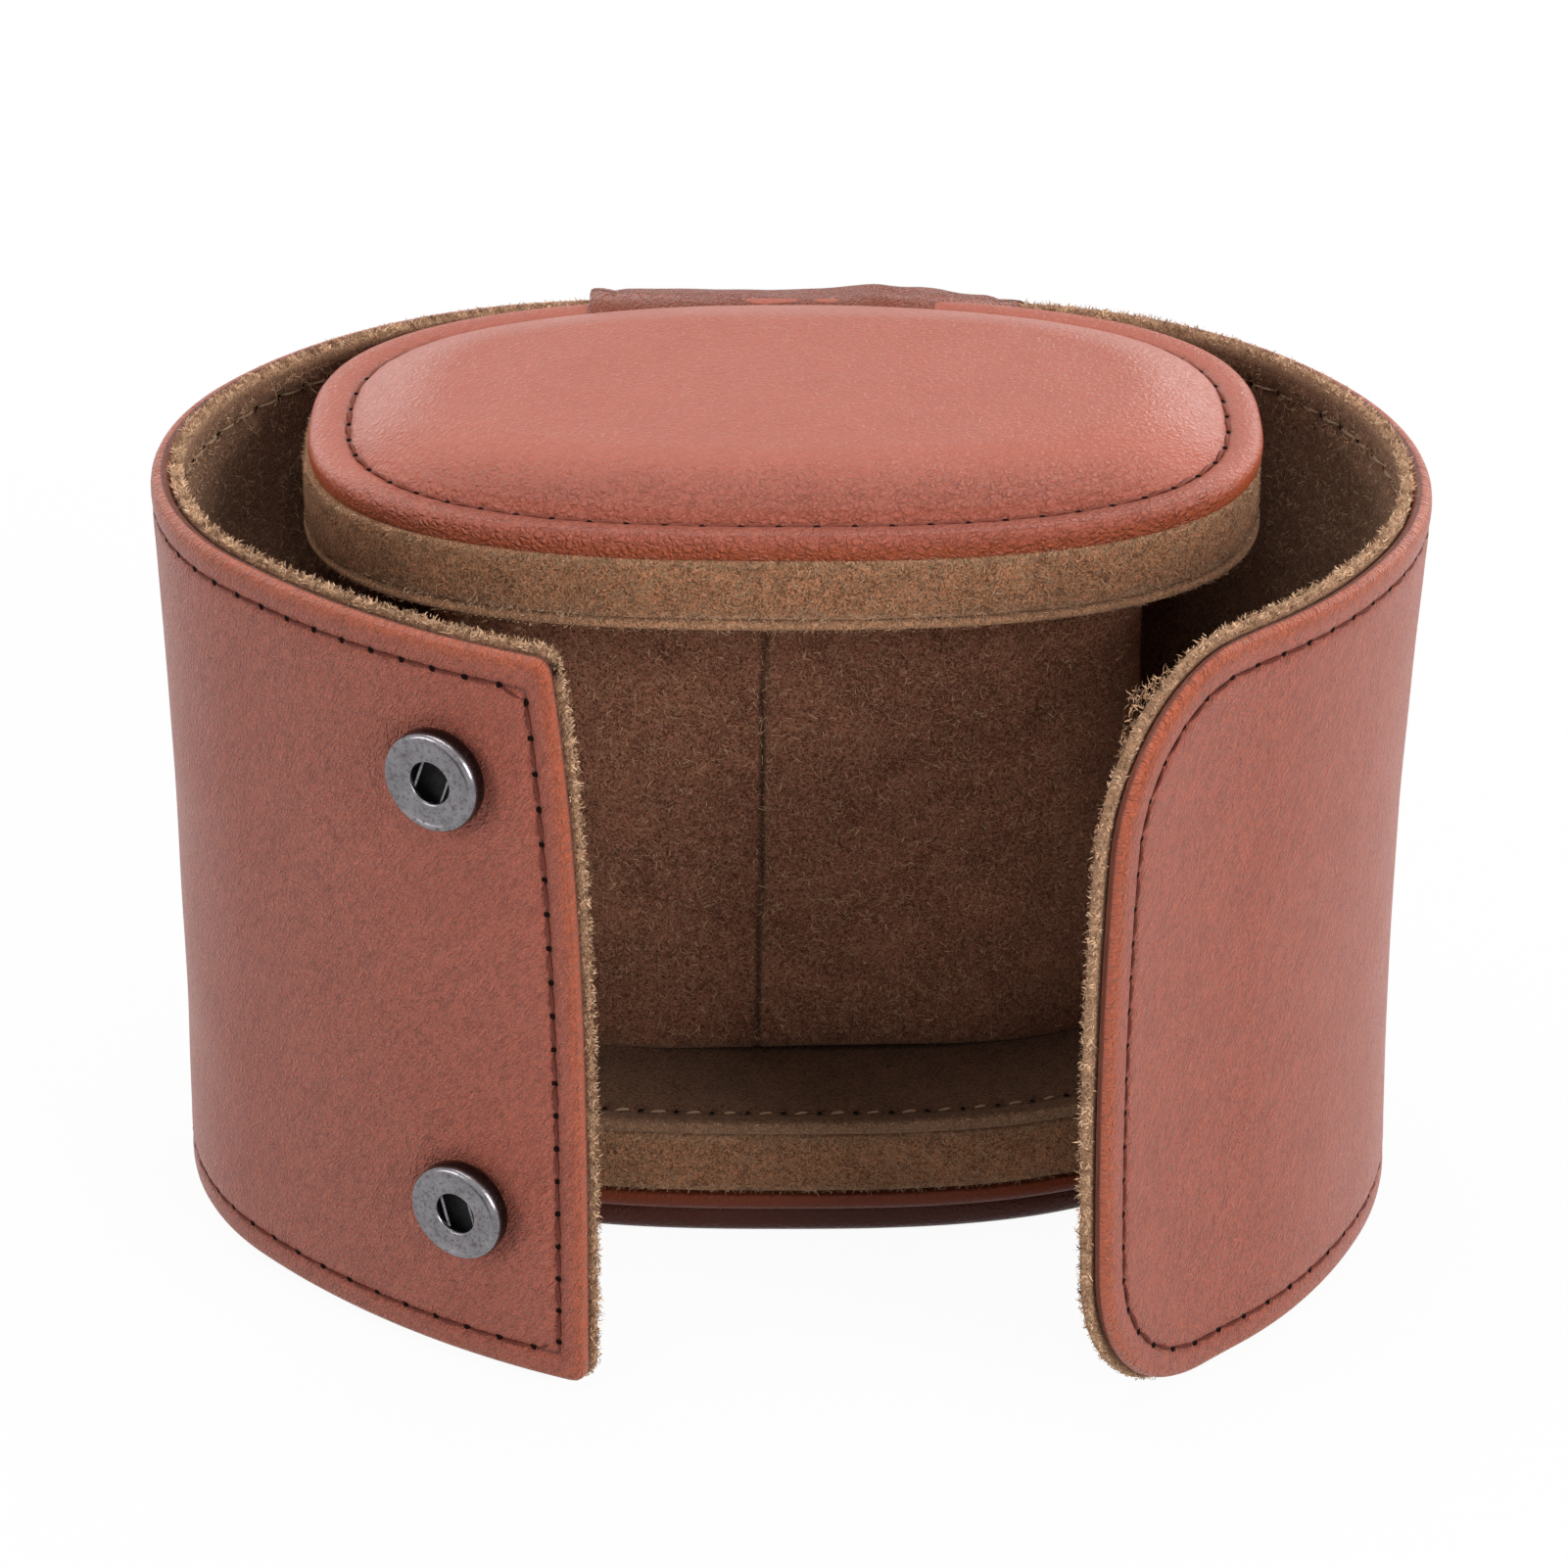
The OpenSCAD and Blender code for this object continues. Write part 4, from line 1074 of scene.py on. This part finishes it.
def capDisc(name, at, way, t, looks):
    seat = seats[name]
    holes = ovalHoles(seat["stitchIn"])
    rings = capSurface(discRim, False, t)
    flat = rings.reshape(-1, 4)
    rise, inset = flat[:, 2], flat[:, 3]
    dents = holeMarks(flat[:, :2], holes, 0.4) * (inset > 1.2)
    swell = lumps(flat[:, :3], 1.2, 3.0) * 0.04 + lumps(flat[:, :3], 9.0, 5.0) * 0.1
    h = rise * seat["discTall"] + seat["discUp"] + 0.22 * dents + swell * (rise < -1.0) * ramped(inset, 0, 3)
    spread = flat[:, :2] * (1 + seat["discOut"] / 45 * ramped(inset, 8, -8))[:, None]
    points = np.column_stack([settled(spread, way), at - way * caps["band"] + way * h])
    outs = np.tile([0, 0, -way], (len(points), 1)) * ((inset > 5) & (rise < -1))[:, None]
    # the disc's lip is painted paler: its raw nap, and painted light where the edge catches it
    disc = makePiece(name + "Disc", points, facing(points, capFaces(len(rings), len(t)), outs), looks["disc"],
                     flat[:, :2], {"hole": dents, "fuzz": hump(inset, 0.5) * 0.5})
    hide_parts(name + "_disc")
    spots = np.column_stack([settled(holes, way), np.full(len(holes), at - way * discFace(seat))])
    return [disc] + ringSeam(name + "Disc", spots, -way, looks["tan"], looks["hole"], -way, fine=0.8,
                             short=0.17, lift=0.12, radius=0.28)


def discFace(seat):
    # how far the disc's face lies past the cap's open edge
    return caps["band"] + 1.3 * seat["discTall"] - seat["discUp"]


def capNap(name, at, way, looks):
    # nap at the disc's lip and the band's edges
    seat = seats[name]
    points, faces, cuts = [], [], []
    bandEnd = seat["bandTall"] * 6.7 - seat["bandUp"]
    edges = [(0.2 - seat["discOut"], bandEnd + 0.3), (0.2 - seat["discOut"], discFace(seat)),
             (0.6 - seat["bandOut"], 0.4 - seat["bandUp"]), (0.6 - seat["bandOut"], bandEnd - 0.3)]
    fine = np.linspace(0, 2 * math.pi, 3000, endpoint=False)
    for inset, down in edges:
        z = at - way * down
        ring = spaced(ovalLine(fine, inset), 0.13, closed=True)
        for place, out in zip(settled(ring, way), ovalOut(ring)):
            root = Vector((place[0], place[1], z + dice.uniform(-0.3, 0.3)))
            lean = Vector((out[0], out[1], dice.uniform(-0.6, 0.6))).normalized()
            fibreTuft(points, faces, cuts, root, lean, Vector((-out[1], out[0], 0)), (place[0], z),
                      dice.uniform(0.15, 0.55), 0.035)
    return makePiece(name + "Nap", [tuple(p) for p in points], faces, looks["fibre"], cuts)


def dressCap(name, at, way, looks, body):
    # way is 1 for the lid, whose crown is up, and -1 for the base
    t = ovalAngles(caps["step"])
    leathers = capCover(name, at, way, t, looks)
    suedes = capBand(name, at, way, t, looks) + capDisc(name, at, way, t, looks)
    suedes.append(capNap(name, at, way, looks))
    for pieces, look in ((leathers, "leather"), (suedes, "suede")):
        for piece in pieces:
            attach(piece, body)


def shaped(places, inset, way):
    # the lid's leather: a wider rim at the ends, and a seam that runs nearer the middle of the back
    if way < 0:
        return places
    x, y = places[:, 0], places[:, 1]
    inner = ramped(inset, 0, 3.0)
    fade = inner * ramped(inset, 14, -8)
    back = ramped(y, 0, 26.8) ** 4 * np.maximum(1.2 - 1.9 * (x / 30) ** 2, -0.7)
    return np.column_stack([x * (1 + 0.013 * (1 - inner)) + 0.15 + 0.3 * inner, y + back * fade])


def settled(places, way):
    # the lid's suede is a little wider than its leather and sits to one side
    if way < 0:
        return places
    return places * np.array([caps["widen"], 1.0]) + np.array([caps["aside"], 0.0])


core = {"width": 77.0, "depth": 30.0, "floor": 15.1, "top": 75.0, "seamX": -2.6, "aside": 0.4, "rows": 88,
        "step": 0.5}


def dressCore(suedeLook, pileLook):
    t = ovalAngles(core["step"], core["width"], core["depth"])
    line = ovalLine(t, 0.0, core["width"], core["depth"])
    outs = ovalOut(line)
    heights = np.linspace(0, 1, core["rows"] + 1)
    points, seam, fuzz = [], [], []
    for v in heights:
        z = core["floor"] + (core["top"] - core["floor"]) * v
        wander = 0.35 * noise.noise(Vector((0.0, z / 11, 4.0)))
        gap = line[:, 0] + core["aside"] - (core["seamX"] + wander + 1.1 * v - 0.4)
        front = line[:, 1] < 0
        notch = hump(gap, 0.34) * front
        plump = hump(gap, 2.2) * front
        # the sleeve's lower edge lifts a little at the front
        lift = 0.9 * hump(line[:, 0] - 6, 17) * front * (1 - v) ** 6
        ring = np.column_stack([line, np.full(len(t), z) + lift])
        swell = (lumps(ring, 1.3, 2.0) * 0.05 + lumps(ring, 9.0, 6.0) * 0.16 + lumps(ring, 26.0, 1.0) * 0.25
                 - 0.4 * notch + 0.14 * plump - 0.3 * hump(v, 0.02))
        ring[:, :2] += outs * swell[:, None]
        ring[:, 0] += core["aside"]
        points.append(ring)
        seam.append(notch)
        fuzz.append(hump(gap - 0.6, 0.4) * front * 0.2 + 0.5 * hump(v, 0.008))
    points = np.array(points)
    lipLow, lipTop = points[0].copy(), points[-1].copy()
    lipLow[:, :2] -= outs * 1.2
    lipTop[:, :2] -= outs * 1.2
    points = np.concatenate([[lipLow], points, [lipTop]])
    seam = np.array([seam[0]] + seam + [seam[-1]])
    fuzz = np.array([fuzz[0]] + fuzz + [fuzz[-1]])
    flat = points.reshape(-1, 3)
    faces = facing(flat, gridFaces(len(points), len(t), True), np.tile(upright(outs), (len(points), 1)))
    cut = np.column_stack([np.tile(runAlong(line), len(points)), flat[:, 2]])
    sleeve = makePiece("coreSleeve", flat, faces, suedeLook, cut,
                       {"hole": seam.ravel() * 0.9, "fuzz": fuzz.ravel()})
    roots, row, ring = onShell(points, pile["onCore"], 7)
    front = points[row, ring, 1] < 4
    roots = roots[front]
    fibres = scatterPile("corePile", roots, upright(outs)[ring][front], pileLook, roots[:, [0, 2]])
    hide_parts("core_sleeve", "core_padding")
    for piece in (sleeve, fibres):
        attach(piece, "case")


# ---------------------------------------------------------------- tongue and strap at the back
tongue = {"half": 24.3, "thick": 0.9, "stitchIn": 2.8, "aside": 2.6, "round": 180.0, "wrinkle": 0.5,
          "bend": ((0, 29.3, 88.0), (0, 33.4, 85.6)),
          "atX": (-22.0, -14.0, -2.0, 10.0, 15.0, 21.0, 25.7),
          "raised": (0.45, 0.0, -0.45, -0.1, -0.1, -0.5, -0.9)}


# each strap's outer face in the middle plane, (y, z): the tongue's from the lid's rim over the wrap and down
# its back, and the other from below the base up
tongueLine = [(27.2, 86.2), (28.2, 86.75), (29.4, 87.0), (30.6, 87.02), (31.7, 86.92), (32.7, 86.72),
              (33.5, 86.36), (34.1, 85.8), (34.45, 85.0), (34.6, 84.0), (34.62, 82.0), (34.62, 76.0),
              (34.62, 68.0), (34.62, 63.9)]
baseStrapLine = [(28.2, 0.5), (29.4, 0.28), (31.0, 0.2), (32.6, 0.25), (33.8, 0.6), (34.4, 1.4), (34.62, 2.6),
                 (34.62, 8.0), (34.62, 16.0), (34.62, 22.4)]


def strapPiece(name, line, looks, replaced, hinge=None, wrinkle=0.0):
    line = spaced(np.array(line), 0.7)
    ahead = np.gradient(line, axis=0)
    outs = unit(np.stack([ahead[:, 1], -ahead[:, 0]], 1))
    outs *= -1 if outs[len(outs) // 2, 0] < 0 else 1
    half, thick, stitchIn, aside = (tongue[k] for k in ("half", "thick", "stitchIn", "aside"))
    rim = [(0.9, thick), (0.2, thick * 0.95), (0.0, thick * 0.55), (0.12, 0.12), (0.5, -0.04), (1.4, -0.06),
           (2.2, 0.06), (2.8, 0.2), (3.4, 0.08), (4.2, 0.0)]
    xs = ([(-half + i, d) for i, d in rim] + [(x, 0.0) for x in np.linspace(-half + 4.6, half - 4.6, 60)]
          + [(half - i, d) for i, d in reversed(rim)])
    run = runAlong(line)
    total = run[-1]
    points, cuts = [], []
    for (y, z), out, s in zip(line, outs, run):
        endDip = 0.3 * hump(total - s - stitchIn, 0.5)
        endRoll = max(0.0, 1 - (total - s) / 1.0) ** 2 * 0.8
        for x, d in xs:
            curve = x * x / (2 * tongue["round"]) * (1 if z < 87 else ramped(y, 29, 4))
            fold = wrinkle * noise.noise(Vector((x / 5.0, s / 2.6, 7.0))) * hump(s - 4.5, 4.0)
            fold *= 0.25 + ramped(x, -2, 10)
            raised = np.interp(x + aside, tongue["atX"], tongue["raised"]) * (wrinkle > 0)
            depth = d + endDip + endRoll - fold - raised * hump(max(0.0, s - 5.5), 3.0)
            points.append((x + aside, y - curve - out[0] * depth, z - out[1] * depth))
            cuts.append((x, s))
    points = np.array(points)
    ways = np.repeat(np.column_stack([np.zeros(len(outs)), outs]), len(xs), axis=0)
    faces = facing(points, gridFaces(len(line), len(xs)), ways)
    # the whole tongue is painted in the shaded orange, darker than the rest of the leather
    piece = makePiece(name, points, faces, looks["leather"], np.array(cuts),
                      {"rolled": np.full(len(points), 0.8), "coarse": np.full(len(points), 0.5)})
    # thread down both sides and across the end, on the part behind the wrap
    first = next(s for s, (y, z) in zip(run, line) if z < 84.5 or s > total - 15)
    side, end = half - stitchIn, total - stitchIn
    x, s = spaced(np.array([(-side, first), (-side, end), (side, end), (side, first)]), 3.5).T
    holes = np.column_stack([x + aside, np.interp(s, run, line[:, 0]) - x * x / (2 * tongue["round"]) - 0.1,
                             np.interp(s, run, line[:, 1])])
    backwards = np.tile([0.0, 1.0, 0.0], (len(x), 1))
    seam = threadRun(name + "Thread", holes[:-1], holes[1:], backwards, looks["thread"])
    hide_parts(*replaced)
    for item in (piece, seam):
        if hinge and item is piece:
            start, end = ([v * mm for v in place] for place in hinge)
            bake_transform(item)
        else:
            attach(item, "case")


# ---------------------------------------------------------------- snaps
socket = {"sides": 72, "wire": 0.22, "wireAt": 1.46, "bend": 1.65, "half": 2.5, "tilt": (15.0, -20.0)}
socketShape = [(4.9, -0.3), (5.26, 0.05), (5.4, 0.4), (5.46, 0.95), (5.46, 1.55), (5.38, 1.98), (5.22, 2.22),
               (4.98, 2.32), (4.8, 2.3), (4.62, 2.2), (4.4, 2.16), (3.9, 2.17), (3.1, 2.16), (2.7, 2.18),
               (2.52, 2.2), (2.36, 2.12), (2.29, 1.94), (2.28, 1.7), (2.36, 1.52), (2.7, 1.46), (3.8, 1.44)]
socketCup = [(4.0, 1.42), (4.0, 0.3), (3.5, 0.12), (1.8, 0.1), (0.0, 0.1)]
studShape = [(0.0, 2.1), (1.15, 2.08), (1.5, 1.9), (1.6, 1.6), (1.52, 1.38), (1.18, 1.2), (1.1, 0.9),
             (1.15, 0.55), (1.6, 0.46), (3.5, 0.42), (3.95, 0.32), (4.18, 0.12), (4.15, -0.1)]


snapTurns = 2 * math.pi * np.arange(socket["sides"]) / socket["sides"]


def turned(shape, frame):
    # a profile of (radius, height) turned about the snap's axis
    circle = np.column_stack([np.cos(snapTurns), np.sin(snapTurns)])
    rings = [np.column_stack([r * circle, np.full(len(circle), h)]) for r, h in shape]
    return placed(np.concatenate(rings), frame)


def placed(points, frame):
    # from a snap's own axes to the case's
    origin, *axes = frame
    return origin + points @ np.array(axes)


def springWire(turn):
    # a hairpin of wire in the mouth: one straight leg and the bend that joins it to the other
    bend, half, wire = socket["bend"], socket["half"], socket["wire"]
    arc = np.linspace(0.2, math.pi, 12)
    legY = np.linspace(-half, half, 8)
    x = np.concatenate([np.full(8, bend), bend * np.cos(arc)])
    y = np.concatenate([legY, half + bend * np.sin(arc)])
    path = np.column_stack([x * math.cos(turn) - y * math.sin(turn), x * math.sin(turn) + y * math.cos(turn)])
    ahead = unit(np.gradient(path, axis=0))
    a = 2 * math.pi * np.arange(8) / 8
    across, rise = wire * np.cos(a), socket["wireAt"] + wire * np.sin(a)
    return np.concatenate([np.column_stack([p[0] - d[1] * across, p[1] + d[0] * across, rise])
                           for p, d in zip(path, ahead)])


def snapPiece(name, parts, material, body="left_flap", columns=socket["sides"], marks=None):
    # parts of one piece, each a grid of points with this many columns
    points, faces = [], []
    for part in parts:
        faces += gridFaces(len(part) // columns, columns, True, sum(len(p) for p in points))
        points.append(part)
    piece = makePiece(name, np.concatenate(points), faces, material, None, marks)
    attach(piece, body)
    return piece


def dressSnaps(metal, shadedMetal):
    up = np.array([0, 0, 1.0])
    out, along = leftPlan.outward(sockets["s"]), leftPlan.forward(sockets["s"])
    frames = [(leftPlan.place(sockets["s"] + aside, z, 0.0), along, up, out)
              for z, aside in zip(sockets["z"], sockets["aside"])]
    # the side wall and the arc of the bevel that faces away from the lamps are painted near black, as shade
    # and dark reflection
    arc = 0.95 * hump(snapTurns - math.radians(42), math.radians(34))
    wall = np.full(len(snapTurns), 0.85)
    bevel = np.concatenate([wall if h < 1.7 and r > 4 else arc * (4.5 < r < 4.9) for r, h in socketShape])
    shell = snapPiece("socketCaps", [turned(socketShape, frame) for frame in frames], metal,
                      marks={"bevel": np.tile(bevel, len(frames))})
    # the cup seen through the socket's mouth is painted near black, as shade
    snapPiece("socketCups", [turned(socketCup, frame) for frame in frames], shadedMetal)
    wires = [placed(springWire(math.radians(end + tilt)), frame)
             for frame, tilt in zip(frames, socket["tilt"]) for end in (0, 180)]
    springs = snapPiece("socketSprings", wires, metal, columns=8)
    out, along = -rightPlan.outward(studs["s"]), rightPlan.forward(studs["s"])
    backs = [(rightPlan.place(studs["s"], z, 3.2), along, up, out) for z in studs["z"]]
    stud = snapPiece("snapStuds", [turned(studShape, back) for back in backs], metal, "right_flap")
    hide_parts("socket_caps")
    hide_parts("socket_springs")
    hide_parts("snap_studs")


# ---------------------------------------------------------------- floor and the hidden pieces
def layFloor(material, reach=3):
    mesh = bpy.data.meshes.new("floor")
    mesh.from_pydata([(-reach, -reach, 0), (reach, -reach, 0), (reach, reach, 0), (-reach, reach, 0)], [],
                     [(0, 1, 2, 3)])
    mesh.materials.append(material)
    piece = bpy.data.objects.new("floor", mesh)
    bpy.context.scene.collection.objects.link(piece)


def finishHidden(metal, greyBoard):
    woundBoard = boardFinish("wound board", (0.28, 0.17, 0.09, 1), (0.42, 0.28, 0.16, 1), 2.0)
    kinds = {"board": greyBoard, "tube": woundBoard, "plug": woundBoard, "backs": metal, "top": woundBoard}
    for name, node in frame["nodes"].items():
        look = next((look for ending, look in kinds.items() if name.endswith(ending)), None)
        if look and not node.hide_render:
            node.data.materials.clear()
            node.data.materials.append(look)


def dressCase():
    setStage()
    layFloor(stageFinish())
    bpy.context.scene.world = roomFinish()
    print("stage is set")
    metal = gunmetalFinish()
    greyBoard = boardFinish("grey board", (0.16, 0.155, 0.15, 1), (0.30, 0.29, 0.27, 1), 1.2)
    bandSuede = suedeFinish("band suede", "band", False)
    looks = {"thread": threadFinish("rust thread", (0.06, 0.010, 0.006, 1), (0.22, 0.042, 0.022, 1)),
             "tan": threadFinish("tan thread", (0.30, 0.20, 0.115, 1), (0.58, 0.42, 0.27, 1)),
             "hole": holeFinish(), "board": greyBoard, "band": bandSuede, "disc": bandSuede,
             "fibre": fibreFinish("edge nap", (0.22, 0.12, 0.065, 1), (0.80, 0.55, 0.36, 1)),
             "pile": fibreFinish("pile", (0.12, 0.055, 0.03, 1), (0.72, 0.45, 0.27, 1)),
             "bandPile": fibreFinish("band pile", (0.13, 0.07, 0.04, 1), (0.47, 0.305, 0.19, 1)),
             "leather": leatherFinish("wrap leather", "wrap", True),
             "lining": suedeFinish("shaded wrap suede", "lining", True)}
    # the lid's leather is a copy painted a little darker, and the base's a copy painted much darker, both as
    # shade
    lidLooks = dict(looks, leather=leatherFinish("shaded lid leather", "cap", False, 0.9),
                    thread=threadFinish("lid thread", (0.13, 0.026, 0.015, 1), (0.36, 0.095, 0.055, 1)))
    baseLooks = dict(looks, leather=leatherFinish("shaded base leather", "base", False, 0.36),
                     disc=suedeFinish("shaded floor suede", "floor", False))
    print("finishes are made")
    print("wrap is dressed,", dressWrap(looks), "faces")
    dressCap("lid", caps["lidAt"], 1, lidLooks, "lid")
    dressCap("base", caps["baseAt"], -1, baseLooks, "case")
    dressCore(suedeFinish("shaded sleeve suede", "sleeve", False), looks["pile"])
    print("caps and core are dressed")
    strapPiece("tongue", tongueLine, looks, ("lid_tongue", "lid_strap"), tongue["bend"], tongue["wrinkle"])
    strapPiece("baseStrap", baseStrapLine, looks, ("base_strap",))
    # the socket's cup is a near black painted as the shade in its mouth
    dressSnaps(metal, boardFinish("socket mouth shade", (0.01, 0.01, 0.01, 1), (0.03, 0.03, 0.03, 1), 0.8))
    finishHidden(metal, greyBoard)
    print("straps, snaps and hidden pieces are done")


dressCase()
